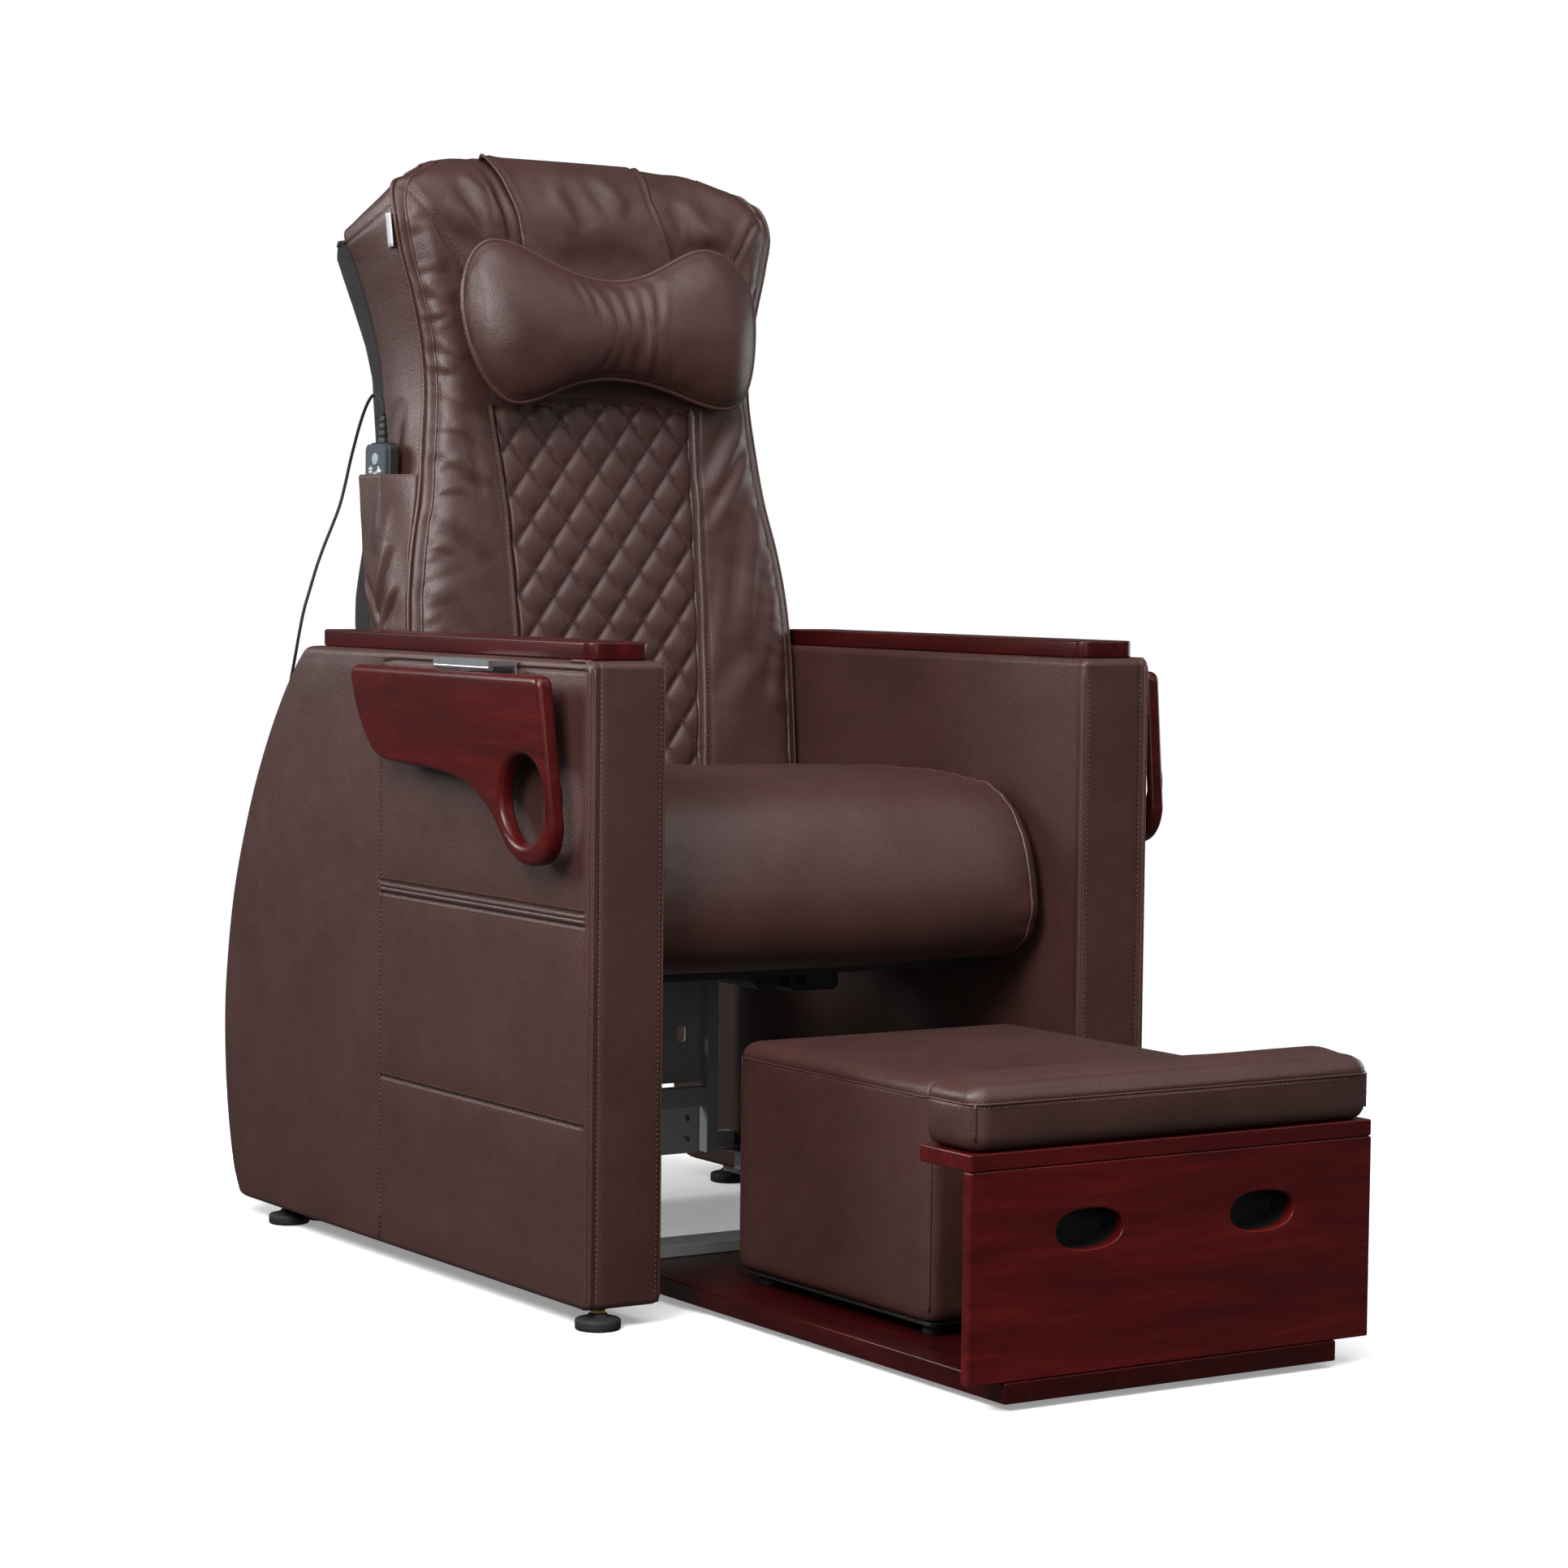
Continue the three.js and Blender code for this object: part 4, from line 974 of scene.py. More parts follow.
def seam_path(side, which, low=0, high=BACK_LENGTH):
    """The path of the band's front or side seam up one edge of the backrest."""
    path, out = [], []
    for s in np.linspace(low, high, 190):
        z, half, y0 = float(back_z(s)), float(back_half(s)), float(back_y(s))
        if which == "front":
            p, n = back_front(np.array([side * (half - BAND)]), np.array([s]))
            path.append(p[0])
            out.append(n[0])
        else:
            path.append(side_seam(side, z, half, y0))
            out.append(np.array([side, -0.6, 0]))
    return np.array(path), np.array(out)


def on_front(line, lift=0.3):
    """A line of (x, z) points laid on the backrest's front, with the directions away from it."""
    line = np.array(line, float)
    s = np.interp(line[:, 1], BACK[:, 0], back_s)
    points, out = back_front(line[:, 0], s)
    return points + out * lift, out


def within(line):
    """The part of a line of (x, z) points that lies on the backrest's front, inside its band."""
    line = np.array(line, float)
    half = back_half(np.interp(line[:, 1], BACK[:, 0], back_s))
    return line[np.abs(line[:, 0]) < half - BAND - 5]


def quilt_lines():
    """The stitched diamond lines inside the panel, each as a run of (x, z) points."""
    runs = []
    x = np.linspace(-130, 130, 105)
    for slope in (1, -1):
        for k in range(-30, 31):
            z = slope * (k - x / QUILT_WIDE) * QUILT_HIGH
            inside = (np.abs(x - panel_centre(z)) < WAIST(z) - 3) & (z < quilt_top(x) - 3) & (z > 485)
            if inside.sum() > 4:
                runs.append(grid(x, z)[inside])
    return runs


def make_back():
    rings = back_rings()
    cover = piece("backrest_cover", [skin(rings)], LEATHER, "backrest", ["backrest_cushion"])
    welts = []
    for side in (-1, 1):
        for which in ("front", "side"):
            path, out = seam_path(side, which)
            out = out / np.linalg.norm(out, axis=1)[:, None]
            welts.append(tube(slope_top(path + out * 0.6), 2.0, 8))
    piece("backrest_piping", welts, PIPING, "backrest")
    rows = []
    z = np.linspace(486, 890, 120)
    centre = panel_centre(z)
    for side in (-1, 1):
        rows.append(stitches(*on_front(grid(centre + side * (WAIST(z) + 8.2), z))))
        path, out = seam_path(side, "front", 60, BACK_LENGTH - 75)
        rows.append(stitches(slope_top(path + np.array([-side * 4.5, -0.4, 0])), out, wide=0.8))
        path, out = seam_path(side, "side", 60, BACK_LENGTH - 75)
        rows.append(stitches(slope_top(path + np.array([side * 0.6, 5.0, 0])), (side, 0, 0), wide=0.8))
    rows.append(stitches(*on_front(within(resample(LEFT_TOP_SEAM + (3.4, 3.0), 4)))))
    for d in (-4.2, 4.2):
        rows.append(stitches(*on_front(within(resample(RIGHT_TOP_SEAM + (d, -d * 0.75), 4)))))
    piece("backrest_stitching", rows, THREAD, "backrest")
    # Quilting stitches: real thread, darkened to carry painted shade in the quilt grooves as well.
    fine = [stitches(*on_front(line, 1.1), pitch=4.6, length=4.2, wide=1.3) for line in quilt_lines()]
    piece("backrest_quilting", fine, QUILT_THREAD_AND_SHADE, "backrest")
    # Dark tubes along the panel's side seams, the top seams and the quilting's top edge: painted shadow in those
    # grooves.
    folds = [grid(centre + side * WAIST(z), z) for side in (-1, 1)]
    folds += [within(resample(seam, 3)) for seam in (LEFT_TOP_SEAM, RIGHT_TOP_SEAM)]
    x = np.linspace(-118, 108, 60)
    folds.append(grid(x, quilt_top(x)))
    tubes = [tube(on_front(line, 0.1)[0], 0.7, 6) for line in folds]
    piece("backrest_seam_shadows", tubes, SEAM_SHADOW, "backrest")


make_back()


LABEL_FRONT, LABEL_WIDE, LABEL_LOW, LABEL_HIGH = 583, 21, 1057, 36


def make_label():
    """A blank label on the band near the top, leaning back with it."""
    y = np.linspace(LABEL_FRONT, LABEL_FRONT + LABEL_WIDE, 6)
    behind = y - LABEL_FRONT
    rings = []
    for z in np.linspace(LABEL_LOW, LABEL_LOW + LABEL_HIGH, 9):
        up = z - LABEL_LOW
        x = -(235.5 + up * 0.07) + behind * 0.22 - 1.2 * np.sin(behind / LABEL_WIDE * math.pi)
        near, far = (grid(x - lift, y + up * 0.08, z) for lift in (3.6, 4.2))
        rings.append(np.vstack([near, far[::-1]]))
    piece("blank_label", [skin(rings)], LABEL, "backrest")


make_label()


# ---- black shell behind the padding ----

SHELL = np.array([
    (480, 648), (560, 672), (650, 690), (856, 692), (909, 702), (963, 718), (1017, 735), (1053, 741),
    (1090, 728),
], float)
SHELL_LOW, SHELL_HIGH = SHELL[0, 0], SHELL[-1, 0]
shell_rear = curve_of(SHELL[:, 0], SHELL[:, 1])


def make_shell():
    rows = []
    turn = np.linspace(0, math.pi / 2, 12)
    wall = np.linspace(0, 1, 7)[:-1]
    for z in np.linspace(SHELL_LOW, SHELL_HIGH, 92):
        half = side_rear(z, float(np.interp(z, BACK[:, 0], BACK[:, 2]))) - 1.5
        front = float(board_y(z)) + GAP
        deep = float(shell_rear(z)) + 4 * min((z - SHELL_LOW) / 200, 1) - front
        corner = min(17.0, deep * 0.55, half)
        run_x = np.concatenate([
            np.full(6, half), half - corner + corner * np.cos(turn), np.linspace(half - corner, 0, 22)[1:]
        ])
        run_y = front + np.concatenate([
            wall * (deep - corner), deep - corner + corner * np.sin(turn), np.full(21, deep)
        ])
        x = np.concatenate([-run_x, run_x[::-1][1:]])
        y = np.concatenate([run_y, run_y[::-1][1:]])
        y = y - 0.8 * bell(x, 2.2) * (deep > 8)
        sag = 1.2 * clouds((x, z), 90, 50) * unit((y - front) / 12)
        rows.append(grid(x, y - np.maximum(sag, 0), z))
    front = float(board_y(SHELL_HIGH)) + GAP
    lid = []
    for angle in np.linspace(0, math.pi / 2, 9)[1:]:
        ring = rows[-1].copy()
        ring[:, 1] = front + (ring[:, 1] - front) * math.cos(angle)
        ring[:, 2] = max(SHELL_HIGH + 4 * math.sin(angle) - 3, SHELL_HIGH - 1.5)
        lid.append(ring)
    cloth = [skin([slope_top(ring) for ring in rows + lid], closed=False)]
    shell = piece("back_shell_cover", cloth, CLOTH, "backrest", ["back_shell"])
    modifier(shell, "SOLIDIFY", thickness=0.003, offset=-1)


make_shell()


# ---- head pillow and its flap ----

pillow_top = chain(
    bezier((-182, 990), (-184, 1030), (-170, 1065), (-140, 1066)),
    bezier((-140, 1066), (-98, 1066), (-62, 1028), (0, 1028)),
    bezier((0, 1028), (60, 1028), (88, 1068), (126, 1068)),
    bezier((126, 1068), (160, 1066), (186, 1034), (183, 985)),
)
pillow_low = chain(
    bezier((-182, 990), (-178, 938), (-150, 894), (-122, 894)),
    bezier((-122, 894), (-88, 894), (-62, 923), (0, 923)),
    bezier((0, 923), (66, 923), (100, 895), (140, 895)),
    bezier((140, 895), (168, 896), (180, 930), (183, 985)),
)
PILLOW_FOLDS = [
    # start, end, width, height
    ((-34, 1030), (-16, 966), 4.5, 3.2), ((-8, 1028), (2, 950), 4, 3.6), ((14, 1028), (16, 958), 3.6, 3.4),
    ((34, 1030), (30, 940), 4.5, 4.0), ((58, 1036), (44, 972), 5, 3.2), ((-52, 1036), (-38, 992), 4.5, 2.4),
    ((-44, 916), (-22, 960), 4.5, 2.8), ((-18, 918), (-6, 974), 4, 3.0), ((8, 918), (8, 984), 4, 3.0),
    ((34, 918), (26, 978), 4, 3.2), ((60, 914), (40, 966), 5, 3.0), ((84, 910), (56, 958), 5, 2.2),
]
PILLOW_SEAM_Y, PILLOW_LEAN, PILLOW_PLACES = 531, 0.10, 110


def pillow_side(edge):
    """Places along an edge of the pillow, evenly spread along it."""
    return resample(edge, lengths(edge)[-1] / (PILLOW_PLACES - 1))[:PILLOW_PLACES]


def pillow_face(side):
    """Rows across the pillow's front (-1) or back (1), from its lower seam to its upper."""
    top, low = pillow_side(pillow_top), pillow_side(pillow_low)
    tall, along = np.linalg.norm(top - low, axis=1), lengths(low)
    rows = []
    for v in (1 - np.cos(np.linspace(0, math.pi, 45))) / 2:
        x, z = (low * (1 - v) + top * v).T
        end = unit((184 - np.abs(x)) / 60)
        lens = (4 * v * (1 - v)) ** (0.68 if side < 0 else 0.6)
        deep = (37 if side < 0 else 24) * unit(tall / 130) ** 0.55 * np.sin(end * math.pi / 2) ** 0.62
        rim = np.minimum(v, 1 - v) * tall
        fan = (x - 8) / (0.7 + 0.5 * unit(rim / 50)) + 6 * (v > 0.5)
        ridged = 0.5 - np.abs(clouds((fan, z * 0.07), 15, 61))
        gather = bell(x - 12, 58) * (3.0 * ridged + 1.6 * clouds((fan, z * 0.05), 24, 62))
        gather = gather * (0.12 + 0.88 * np.exp(-((rim - 13) / 19) ** 2))
        if side < 0:
            gather = gather + 0.72 * folded(x, z, PILLOW_FOLDS)
        near_rim = np.exp(-rim / 14) * 1.3 * clouds((along, rim * 0.4), 9, 63) - 1.4 * bell(rim - 4.5, 2.6)
        relief = gather + near_rim + 1.8 * clouds((x, z), 55, 64) + 0.6 * clouds((x, z), 22, 65)
        y = side * (deep * lens + unit(rim / 6) * relief)
        rows.append(grid(x, PILLOW_SEAM_Y + y + PILLOW_LEAN * (z - 980), z))
    return np.array(rows)


def make_pillow():
    faces = [skin(pillow_face(side), closed=False) for side in (-1, 1)]
    pillow = piece("pillow", faces, LEATHER, "pillow", ["head_pillow"], weld=0.0002)
    rim = np.vstack([pillow_side(pillow_top), pillow_side(pillow_low)[::-1][1:-1]])
    loop = grid(rim[:, 0], PILLOW_SEAM_Y + PILLOW_LEAN * (rim[:, 1] - 980), rim[:, 1])
    piece("pillow_piping", [tube(loop, 2.9, 10, closed=True)], PIPING, "pillow")


make_pillow()


FLAP_LEFT = curve_of([1030, 1064, 1101, 1126, 1148, 1160], [-88, -93, -99, -107, -113, -114])
FLAP_RIGHT = curve_of([1030, 1062, 1096, 1122, 1146, 1160], [99, 95, 86, 80, 82, 84])


FLAP_FOLDS = [
    ((-30, 1140), (-10, 1085), 13, -3.0), ((10, 1150), (40, 1105), 12, 3.0),
    ((-95, 1075), (-60, 1020), 10, 2.5),
]
FLAP_TAIL = [
    (628, 1156), (640, 1158.5), (655, 1158.5), (672, 1156), (684, 1150), (696, 1138), (701.4, 1117),
    (699, 1100),
]


def make_flap():
    """The leather flap that hangs the pillow: up from behind it, over the top and down the back."""
    rows, directions = [], []
    across = np.linspace(0, 1, 56)
    edge = np.minimum(across, 1 - across)
    for s in np.linspace(float(np.interp(1012, BACK[:, 0], back_s)), BACK_LENGTH, 70):
        z = float(back_z(s))
        left, right = float(FLAP_LEFT(z)), float(FLAP_RIGHT(z))
        x = left + (right - left) * across
        away = back_front(np.zeros(1), np.array([s]))[1][0]
        top = crown_share(z)
        relief = 2.4 * clouds((x, z), 46, 71) + 1.0 * clouds((x, z), 20, 72) + folded(x, z, FLAP_FOLDS)
        lift = 5.0 + 3.5 * top + 3.2 * bell(across, 0.08) + relief * (1 - top)
        lift = lift - 1.6 * bell(edge - 0.035, 0.012) + 0.5 * np.sin(unit(edge / 0.5) * math.pi / 2)
        rows.append(grid(x, back_y(s) + away[1] * lift, z + away[2] * lift))
        directions.append(away)
    lines = []
    for column in (2, 53):
        path, out = np.array(rows)[:66, column], np.array(directions)[:66]
        lines.append(stitches(path + out * 0.5, out))
    for y, z in through(FLAP_TAIL, 5)[1:]:
        out = np.array([y - 650, z - 1100.0])
        y, z = (y, z) + 4.2 * out / np.linalg.norm(out)
        rows.append(grid(rows[-1][:, 0], y, z))
    flap = piece("pillow_flap", [skin(rows, closed=False)], LEATHER, None, ["pillow_strap"])
    modifier(flap, "SOLIDIFY", thickness=0.002, offset=-1)
    thread = piece("pillow_flap_stitching", lines, THREAD, None)
    for made in (flap, thread):
        place(0, 590, 1135)
        place(0, 572, 1040)
        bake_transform(made)


make_flap()


# ---- handset pocket ----

def gusset_x(y, z):
    """The backrest's left side at depth y and height z."""
    half = np.interp(z, BACK[:, 0], BACK[:, 2])
    front = np.interp(z, BACK[:, 0], BACK[:, 1]) + 15
    rear = board_y(z)
    t = np.clip((y - front) / (rear - front), 0, 1.3)
    return -(half - 1.5 + (side_rear(z, half) - half + 1.5) * t) - 3 * np.sin(unit(t) * math.pi)


POCKET_LOW, POCKET_HIGH, POCKET_OUT = 640, 814, 243.5
pocket_rear = curve_of([640, 651, 696, 731, 808, 814], [628, 634, 650, 655, 663, 664])
POCKET_FOLDS = [
    ((585, 742), (612, 668), 7, 3.4), ((566, 700), (600, 655), 6, 2.8), ((640, 700), (612, 650), 7, 2.6),
    ((600, 800), (606, 730), 8, 1.8),
]


def make_pocket():
    rows = []
    across = np.linspace(0, 1, 60)
    hump = unit(across / 0.34) ** 0.8 * unit((1 - across) / 0.16) ** 0.6
    for z in np.linspace(POCKET_LOW, POCKET_HIGH, 64):
        front = float(np.interp(z, BACK[:, 0], BACK[:, 1])) + 17
        y = front + (float(pocket_rear(z)) - front) * across
        base = gusset_x(y, z)
        q = (z - POCKET_LOW) / (POCKET_HIGH - POCKET_LOW)
        x = base + (1.6 * (1 - q) - POCKET_OUT - base) * hump * eased(unit(q / 0.36)) - 1.2
        relief = folded(y, z, POCKET_FOLDS) + 0.9 * clouds((y, z), 28, 80)
        x = x - relief * unit(hump * 1.5) * np.clip((1 - q) * 3, 0.15, 1)
        rows.append(grid(x, y, z))
    cover = piece("pocket", [skin(rows, closed=False)], LEATHER, "backrest", ["handset_pocket"])
    modifier(cover, "SOLIDIFY", thickness=0.002, offset=1)
    rim = rows[-1] + (0.8, 0, 0)
    hems = [tube(rim, 1.7, 8), tube(rows[0], 1.3, 8), tube(np.array(rows)[:, -1], 1.2, 8)]
    piece("pocket_hem", hems, PIPING, "backrest")
    piece("pocket_stitching", [stitches(rows[-5] - (0.6, 0, 0), (-1, 0, 0))], THREAD, "backrest")


make_pocket()


# ---- box cushions: bench pad and stool ----

def rounded_box(x0, x1, y0, y1, corner, count=9):
    """A rectangle with round corners, turning left, with the same number of points for any size."""
    turn = np.linspace(0, math.pi / 2, count)
    runs = []
    for cx, cy, start in ((x1 - corner, y0 + corner, -90), (x1 - corner, y1 - corner, 0),
                          (x0 + corner, y1 - corner, 90), (x0 + corner, y0 + corner, 180)):
        a = turn + math.radians(start)
        runs.append(grid(cx + corner * np.cos(a), cy + corner * np.sin(a)))
    out = []
    for run, following in zip(runs, runs[1:] + runs[:1]):
        out += [run, run[-1] + (following[0] - run[-1]) * np.linspace(0, 1, 42)[1:-1, None]]
    return np.vstack(out)


def box_cushion(x, y, z, corner, edge, crown, bulge, seed, foot_edge, seam, step):
    """Rings of a boxed cushion with swelling sides, a rounded top edge and a crowned top."""
    levels = stations(z[0], z[1] - edge, step, [seam], (0, 1, 2, 3.4))
    levels = np.unique(np.concatenate([levels, z[0] + np.array([0.4, 1.2, 2.6])]))
    cx, cy, hx, hy = sum(x) / 2, sum(y) / 2, (x[1] - x[0]) / 2, (y[1] - y[0]) / 2

    def shrunk(draw, radius):
        return rounded_box(x[0] + draw, x[1] - draw, y[0] + draw, y[1] - draw, radius)

    def swollen(outline, height, amount):
        u, v = ((outline - (cx, cy)) / (hx, hy)).T
        lump = 0.5 * clouds((*outline.T, height), 60, seed)
        push = [
            np.where(np.abs(np.abs(a) - 1) < 0.02, np.sign(a) * (amount * (1 - b ** 2) + lump), 0)
            for a, b in ((u, v), (v, u))
        ]
        return outline + grid(*push)

    rings = []
    for level in levels:
        draw = rounding(level - z[0], foot_edge)
        share = (level - z[0]) / (z[1] - z[0])
        amount = bulge * math.sin(math.pi * share) ** 0.7 - 1.5 * float(bell(level - seam, 1.5))
        rings.append(grid(*swollen(shrunk(draw, max(corner - draw, 1)), level, amount).T, level))
    base = bulge * math.sin(math.pi * (1 - edge / (z[1] - z[0]))) ** 0.7
    for angle in np.linspace(0, math.pi / 2, 8)[1:]:
        draw = edge * (1 - math.cos(angle))
        flat = swollen(shrunk(draw, max(corner - draw * 0.5, 2)), z[1], base * math.cos(angle))
        rings.append(grid(*flat.T, z[1] - edge + edge * math.sin(angle)))
    deep = min(hx, hy) - edge
    for inset in np.concatenate([[1.5, 3.5, 6], np.arange(10, deep - 2, 5), [deep - 1.0]]):
        outline = shrunk(edge + inset, max(0.5, min(corner, deep - inset)))
        height = z[1] + crown * math.sin(min(inset / deep, 1) * math.pi / 2) ** 0.8
        lump = 0.9 * clouds(outline.T, 60, seed + 1) * min(inset / 12, 1)
        rings.append(grid(*outline.T, height + lump))
    return rings


def level_ring(rings, z, out):
    """The ring of a cushion at a height, moved out a little."""
    ring = min(rings, key=lambda r: abs(r[0, 2] - z)).copy()
    ring[:, :2] -= inward(ring[:, :2]) * out
    return ring


BENCH_BACK = -459.0
BENCH_X, BENCH_Y, BENCH_Z = (-223, 223), (-471, -394), (225.8, 284)
STOOL_X, STOOL_Y, STOOL_Z = (-139, 191), (-288, 41), (40, 262)
BENCH_SEAM, STOOL_SEAM = 268, 246


def make_bench_cushion():
    rings = box_cushion(BENCH_X, BENCH_Y, BENCH_Z, 16, 15, 6.5, 4.6, 90, foot_edge=12, seam=BENCH_SEAM, step=4)
    pad = piece("bench_pad", [skin(rings)], LEATHER, "foot_bench", ["bench_cushion"])
    loop = level_ring(rings, BENCH_SEAM - 3.4, 0.2)
    out = grid(*-inward(loop[:, :2]).T, 0)
    piece("bench_pad_stitching", [stitches(loop, out, pitch=4.6, wide=0.8)], THREAD, "foot_bench")
    corner = []
    for x in (BENCH_X[0] + 3.6, BENCH_X[1] - 3.6):
        corner.append(tube(resample([(x, BENCH_Y[0] + 3.6, z) for z in (237, BENCH_SEAM)], 4), 1.1, 6))
    corner.append(tube(level_ring(rings, BENCH_SEAM, 0.6), 1.1, 6, closed=True))
    piece("bench_pad_piping", corner, PIPING, "foot_bench")


def make_stool():
    rings = box_cushion(STOOL_X, STOOL_Y, STOOL_Z, 16, 15, 6.0, 3.2, 95, foot_edge=8, seam=STOOL_SEAM, step=7)
    stool = piece("stool_cover", [skin(rings)], LEATHER, "stool", ["stool_body"])
    welts = [tube(level_ring(rings, STOOL_SEAM, 0.3), 1.0, 6, closed=True)]
    inset = 4.4
    for x in (STOOL_X[0] + inset, STOOL_X[1] - inset):
        for y in (STOOL_Y[0] + inset, STOOL_Y[1] - inset):
            welts.append(tube(resample([(x, y, STOOL_Z[0] + 10), (x, y, STOOL_SEAM - 1)], 8), 1.0, 6))
    piece("stool_piping", welts, PIPING, "stool")


make_bench_cushion()
make_stool()


# ---- boards with rounded edges ----

def board(name, outline, holes, thick, edge, material, body, node, turn):
    """A flat board cut to an outline, with round edges, turned into place by a matrix."""
    data = bpy.data.curves.new(name, "CURVE")
    data.dimensions = "2D"
    data.fill_mode = "BOTH"
    data.extrude = (thick / 2 - edge) * MM
    data.bevel_depth = edge * MM
    data.bevel_resolution = 4
    data.offset = -edge * MM
    for loop in (outline, *holes):
        spline = data.splines.new("POLY")
        spline.points.add(len(loop) - 1)
        for point, (a, b) in zip(spline.points, loop):
            point.co = (a * MM, b * MM, 0, 1)
        spline.use_cyclic_u = True
    carrier = bpy.data.objects.new(name + "_curve", data)
    bpy.context.scene.collection.objects.link(carrier)
    bpy.context.view_layer.update()
    mesh = bpy.data.meshes.new_from_object(carrier.evaluated_get(bpy.context.evaluated_depsgraph_get()))
    bpy.data.objects.remove(carrier)
    mesh.transform(turn)
    add_piece(name, cleaned(mesh, 1e-6), material, body, [node], 40)


def circle(a, b, r):
    t = np.arange(48) / 48 * 2 * math.pi
    return grid(a + r * np.cos(t), b + r * np.sin(t))


TRAY_AXIS_X, TRAY_AXIS_Z, TRAY_THICK, TRAY_LEAN = 361, 622, 18, math.radians(2)
CUP_HOLE = (68.5, 500, 42.5)
tray_outline = chain(
    np.array([(43, 618), (410, 618)]),
    quadratic((410, 618), (423, 618), (422, 604), 12),
    bezier((422, 604), (416, 574), (390, 526), (354, 524), 24),
    bezier((354, 524), (312, 520), (252, 522), (204, 514), 24),
    bezier((204, 514), (154, 506), (128, 482), (108, 458), 24),
    quadratic((108, 458), (89, 438), (60, 438), 16),
    bezier((60, 438), (30, 438), (15, 450), (13, 478), 24),
    np.array([(13, 478), (30, 606)]),
    quadratic((30, 606), (31, 618), (43, 618), 10),
)[:-1]

for side, word in ((-1, "left"), (1, "right")):
    upright = Matrix(((0, 0, 1, 0), (1, 0, 0, 0), (0, 1, 0, 0), (0, 0, 0, 1)))
    hang = (
        Matrix.Translation((side * TRAY_AXIS_X * MM, FRONT, TRAY_AXIS_Z * MM))
        @ Matrix.Rotation(side * TRAY_LEAN, 4, "Y")
        @ Matrix.Translation((0, 0, -TRAY_AXIS_Z * MM))
        @ upright
    )
    board(f"{word}_tray_board", tray_outline, [circle(*CUP_HOLE)], TRAY_THICK, 6.5, WOOD_Y,
          f"{word}_tray", f"{word}_tray", hang)
    low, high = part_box(f"{word}_arm_cap")
    outline = rounded_box(low.x / MM, high.x / MM, (low.y - FRONT) / MM, (high.y - FRONT) / MM, 15)
    flat = Matrix.Translation((0, FRONT, (low.z + high.z) / 2))
    board(f"{word}_cap_board", outline, [], (high.z - low.z) / MM, 2.2, CAP_WOOD_SHADED, "base",
          f"{word}_arm_cap", flat)


HAND_HOLES = (-97, 97)
CUP_PROFILE = [
    # how far outside the hand hole, how far behind the panel
    (3.0, 0.3), (3.0, 22), (-1, 25), (-14, 25.5), (-14, 24), (-1.5, 23.5), (1.2, 20), (1.2, 0.3),
]


def hand_hole(x, out=0.0):
    """An oval hand hole, fuller than an ellipse."""
    t = np.arange(72) / 72 * 2 * math.pi
    a, b = np.cos(t), np.sin(t)
    wide, high = 36.5 + out, 18 + out
    return grid(x + wide * np.sign(a) * np.abs(a) ** 0.86, 152 + high * np.sign(b) * np.abs(b) ** 0.86)


def make_hand_hole_shade_cups():
    """Black cups behind the hand holes: a dark backing that stands in for the shade inside them."""
    parts = []
    for x in HAND_HOLES:
        rings = []
        for out, depth in CUP_PROFILE:
            flat = hand_hole(x, out)
            rings.append(np.insert(flat, 1, BENCH_BACK + depth, axis=1))
        verts, faces = skin(rings + rings[:1], caps=False)
        count = len(rings) * len(rings[0])
        parts.append((verts[:count], [[i % count for i in f] for f in faces]))
        parts += [(ring, [list(range(len(ring)))]) for ring in rings[3:5]]
    piece("hand_hole_shade_cups", parts, PLASTIC, "foot_bench", sharp=40)


def make_bench_panel():
    low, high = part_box("bench_front_panel")
    outline = rounded_box(low.x / MM, high.x / MM, low.z / MM, high.z / MM, 1.8, 4)
    turn = Matrix(((1, 0, 0, 0), (0, 0, -1, 0), (0, 1, 0, 0), (0, 0, 0, 1)))
    stand = Matrix.Translation((0, (low.y + high.y) / 2, 0)) @ turn
    holes = [hand_hole(x) for x in HAND_HOLES]
    board("bench_panel", outline, holes, (high.y - low.y) / MM, 1.3, WOOD_X_LIT, "foot_bench",
          "bench_front_panel", stand)


make_bench_panel()
make_hand_hole_shade_cups()


# ---- parts carried over from the frame ----

def dress(name, material, edge):
    """A frame node with its own finish and rounded edges."""
    node = nodes[name]
    mesh = node.data
    if "custom_normal" in mesh.attributes:
        mesh.attributes.remove(mesh.attributes["custom_normal"])
    mesh.materials.clear()
    mesh.materials.append(material)
    mesh.polygons.foreach_set("use_smooth", [True] * len(mesh.polygons))
    modifier(node, "WELD", merge_threshold=0.00002)
    modifier(node, "DECIMATE", decimate_type="DISSOLVE", angle_limit=math.radians(1.5))
    modifier(node, "BEVEL", width=edge * MM, segments=3, limit_method="ANGLE",
             angle_limit=math.radians(35), harden_normals=True)


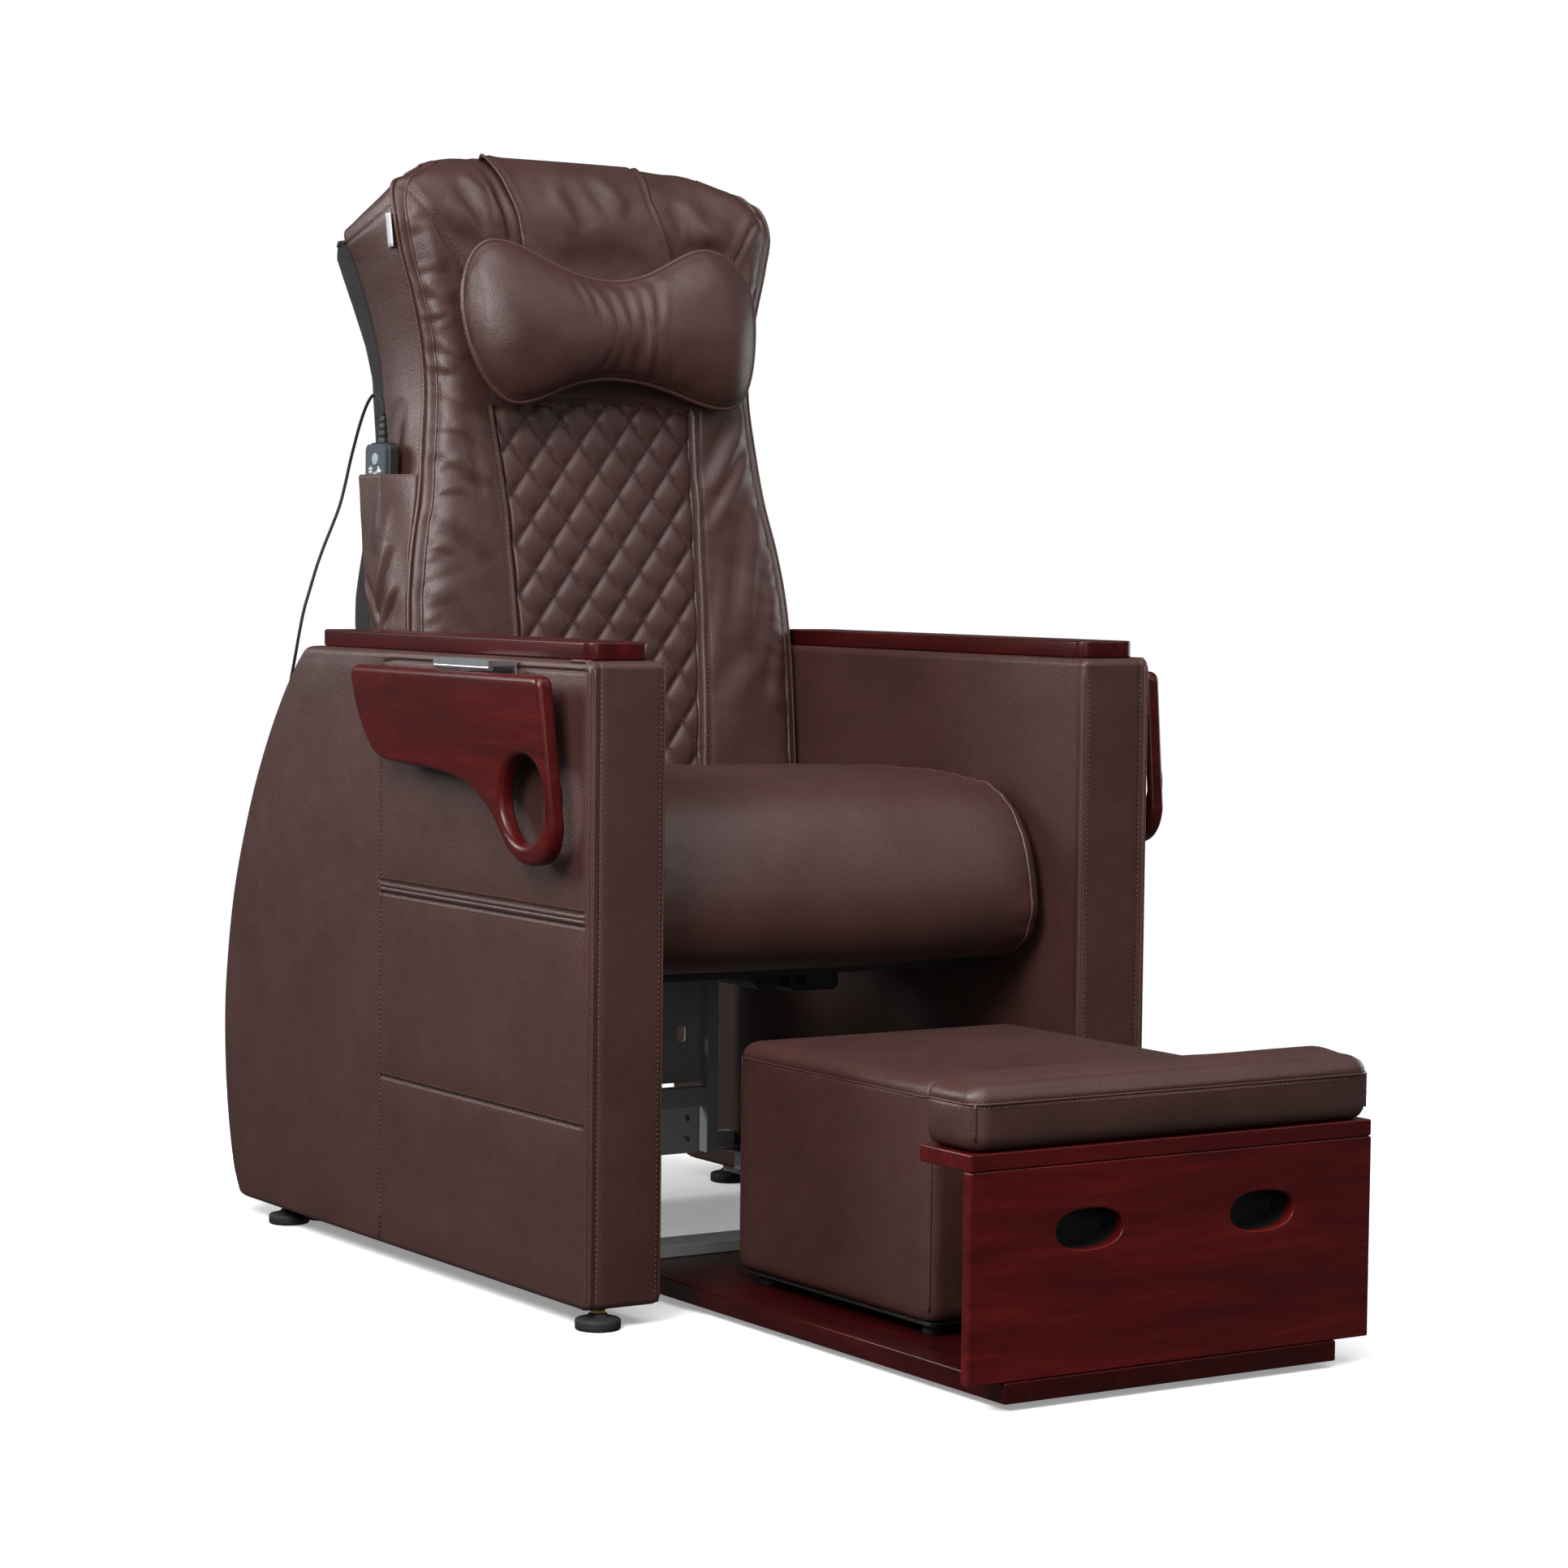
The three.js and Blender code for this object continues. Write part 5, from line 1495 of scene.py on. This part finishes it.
for name, material, edge in (
    ("bench_top_board", WOOD_X_LIT, 1.6), ("bench_base_board", BASE_WOOD_SHADED, 1.6), ("bench_brace", WOOD_X_LIT, 0.8),
    # seat_frame takes the darkened grey: painted shade under the seat.
    ("seat_pan", PLY, 0.8), ("seat_frame", GREY_PAINTED_SHADE, 1.2), ("rear_frame", GREY, 1.2),
    ("rear_panel", GREY, 0.8), ("rear_lower_plate", LIGHT_GREY, 0.8), ("carriage_bar", GREY, 1.0),
    ("left_recline_bracket", STEEL, 0.6),
    ("right_recline_bracket", STEEL, 0.6), ("recline_shaft", STEEL, 0.5), ("actuator_rod", STEEL, 0.4),
    ("actuator_tube", ALUMINIUM, 0.5), ("actuator_gearbox", PLASTIC, 1.5), ("actuator_motor", PLASTIC, 1.2),
    ("back_frame", STEEL, 0.8), ("lever_pin", STEEL, 0.4), ("massage_motor", PLASTIC, 2.0),
    ("control_box", PLASTIC, 2.5), ("mains_inlet", PLASTIC, 0.8), ("left_tray_leaf", HINGE, 0.5),
    ("right_tray_leaf", HINGE, 0.5), ("left_tray_hinge", HINGE, 0.6), ("right_tray_hinge", HINGE, 0.6),
    ("left_slide_rail", STEEL, 0.4), ("right_slide_rail", STEEL, 0.4), ("stool_base", RUBBER, 0.8),
    ("left_bench_glide", RUBBER, 0.8), ("right_bench_glide", RUBBER, 0.8), ("handset_case", PLASTIC, 1.0),
    ("handset_face", HANDSET_FACE, 0.5), ("cord_gland", PLASTIC, 0.4),
    ("handset_strain_relief", PLASTIC, 0.3),
    *((f"handset_button_{i}", KEYS, 0.5) for i in range(1, 5)),
):
    dress(name, material, edge)


# ---- levelling feet ----

def lathe(profile, x, y, sides=40):
    angle = np.arange(sides) / sides * 2 * math.pi
    return skin([grid(x + r * np.cos(angle), y + r * np.sin(angle), z) for r, z in profile])


PAD_PROFILE = [
    (18, 0), (20.6, 0.2), (21.8, 1), (22, 2.2), (22, 8), (21.6, 9.4), (20.4, 10.4), (16, 11.6), (10.5, 13),
    (9.3, 14), (9, 15),
]


def threaded(low, high, radius):
    """The profile of a screw thread of 1 mm pitch, as ridges and grooves."""
    count = int((high - low) * 2) + 1
    return [(radius - 0.45 * (k % 2), low + k / 2) for k in range(count)]


def make_foot(name):
    low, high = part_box(name)
    x, y = (low.x + high.x) / 2 / MM, ((low.y + high.y) / 2 - FRONT) / MM
    piece(f"{name}_pad", [lathe(PAD_PROFILE, x, y)], RUBBER, "base", [name], sharp=50)
    stem = lathe(threaded(14.5, 38, 5.0), x, y, 24)
    nut = lathe([(7.2, 15.4), (8.0, 15.9), (8.0, 18.8), (7.2, 19.3)], x, y, 6)
    piece(f"{name}_stem", [stem, nut], BRASS, "base", sharp=30)


for name in ("front_left", "front_right", "rear_left", "rear_right", "inner_left", "inner_right"):
    make_foot(f"{name}_levelling_foot")


# ---- small fixings and prints ----

SCREW_PROFILE = [(1, -1.0), (1, 0.48), (0.86, 1.2), (0.5, 1.6), (0.16, 1.568), (0.1, 0.64)]


def screw_head(x, y, z, axis, radius):
    """A round screw head with a crossed recess, standing out along an axis."""
    turn = np.array(Vector(axis).to_track_quat("Z", "Y").to_matrix())
    angle = np.arange(24) / 24 * 2 * math.pi
    rings = []
    for share, height in SCREW_PROFILE:
        r = radius * share * (1 - 0.35 * (share < 0.6) * np.abs(np.cos(2 * angle)) ** 4)
        rings.append(grid(r * np.cos(angle), r * np.sin(angle), height) @ turn.T + (x, y, z))
    return skin(rings)


spots = [(side, y) for side in (-1, 1) for y in (152, 193, 235)]
heads = [screw_head(side * (ARM_OUT + 3), y, 612, (side, 0, 0), 3.2) for side, y in spots]
piece("hinge_screws", heads, HINGE, "base", sharp=40)
heads = [screw_head(x, 652, z, (0, -1, 0), 4) for x in (-180, 180) for z in (60, 84)]
heads += [screw_head(x, 670.4, z, (0, 1, 0), 4) for x in (-200, 200) for z in (150, 290)]
piece("frame_screws", heads, STEEL, "base", sharp=40)


def bar_print(y, z, wide, high):
    x0, x1 = -239.15, -238.6
    corners = [(y, z), (y + wide, z), (y + wide, z + high), (y, z + high)]
    return skin([[(x, a, b) for a, b in corners] for x in (x0, x1)])


marks = [bar_print(611 + 2.6 * k, 817.5, 1.5, 3 + 2 * (k % 3)) for k in range(4)]
marks += [bar_print(631, 817.5, 8, 1.6), bar_print(631, 821, 8, 1.6), bar_print(634, 816.5, 1.8, 8)]
piece("handset_prints", marks, PRINT, "backrest", sharp=30)


# ---- floor and lights ----

def make_stage():
    world = bpy.data.worlds.new("studio")
    world.use_nodes = True
    tree = world.node_tree
    soft = tree.nodes["Background"]
    soft.inputs["Color"].default_value = (1, 1, 1, 1)
    soft.inputs["Strength"].default_value = 0.10
    seen = tree.nodes.new("ShaderNodeBackground")
    seen.inputs["Color"].default_value = (1, 1, 1, 1)
    mix, rays = tree.nodes.new("ShaderNodeMixShader"), tree.nodes.new("ShaderNodeLightPath")
    tree.links.new(rays.outputs["Is Camera Ray"], mix.inputs[0])
    tree.links.new(soft.outputs[0], mix.inputs[1])
    tree.links.new(seen.outputs[0], mix.inputs[2])
    tree.links.new(mix.outputs[0], tree.nodes["World Output"].inputs[0])
    bpy.context.scene.world = world
    bpy.context.scene.view_settings.view_transform = "Standard"
    bpy.ops.mesh.primitive_circle_add(vertices=96, radius=1.6, fill_type="NGON", location=(0, 0, -0.0002))
    floor = bpy.context.object
    floor.name = "floor"
    ground = Finish("floor_paint", Roughness=0.9, Specular_IOR_Level=0.1, Emission_Color=(1, 1, 1, 1),
                    Emission_Strength=0.28)
    ground.color(ground.ramp(ground.noise(2, 2), (0.4, (0.93, 0.93, 0.93)), (0.6, (0.95, 0.95, 0.95))))
    floor.data.materials.append(ground.material)
    floor.visible_glossy = False
    floor.visible_diffuse = False
    floor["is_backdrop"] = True


def add_light(name, kind, where, toward, energy, **settings):
    data = bpy.data.lights.new(name, kind)
    data.energy = energy
    for key, value in settings.items():
        setattr(data, key, value)
    light = bpy.data.objects.new(name, data)
    light.location = where
    light.rotation_mode = "QUATERNION"
    light.rotation_quaternion = toward.to_track_quat("-Z", "Y")
    bpy.context.scene.collection.objects.link(light)


make_stage()
add_light("sky", "SUN", (0, 0, 0), Vector((0.28, 0.42, -1)), 2.6, angle=math.radians(60))
for name, where, target, (wide, tall), power in (
    ("key", (-2.0, -1.1, 1.8), (-0.2, 0.1, 0.8), (1.1, 1.1), 68),
    ("rim", (-2.2, 2.1, 1.7), (-0.3, 0.1, 0.8), (1.2, 1.2), 48),
    ("front", (-1.5, -3.4, 1.1), (0.1, 0.2, 0.45), (1.2, 1.2), 11),
    ("right", (1.9, -2.3, 2.2), (0.0, 0.1, 0.9), (1.2, 1.0), 9),
    ("right_fill", (3.4, 0.5, 0.9), (0.2, 0.1, 0.5), (1.8, 1.4), 24),
    ("top", (0.9, -0.7, 2.5), (0.0, 0.0, 0.5), (1.4, 0.9), 5),
):
    toward = Vector(target) - Vector(where)
    add_light(name, "AREA", where, toward, power, shape="RECTANGLE", size=wide, size_y=tall)

low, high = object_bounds()
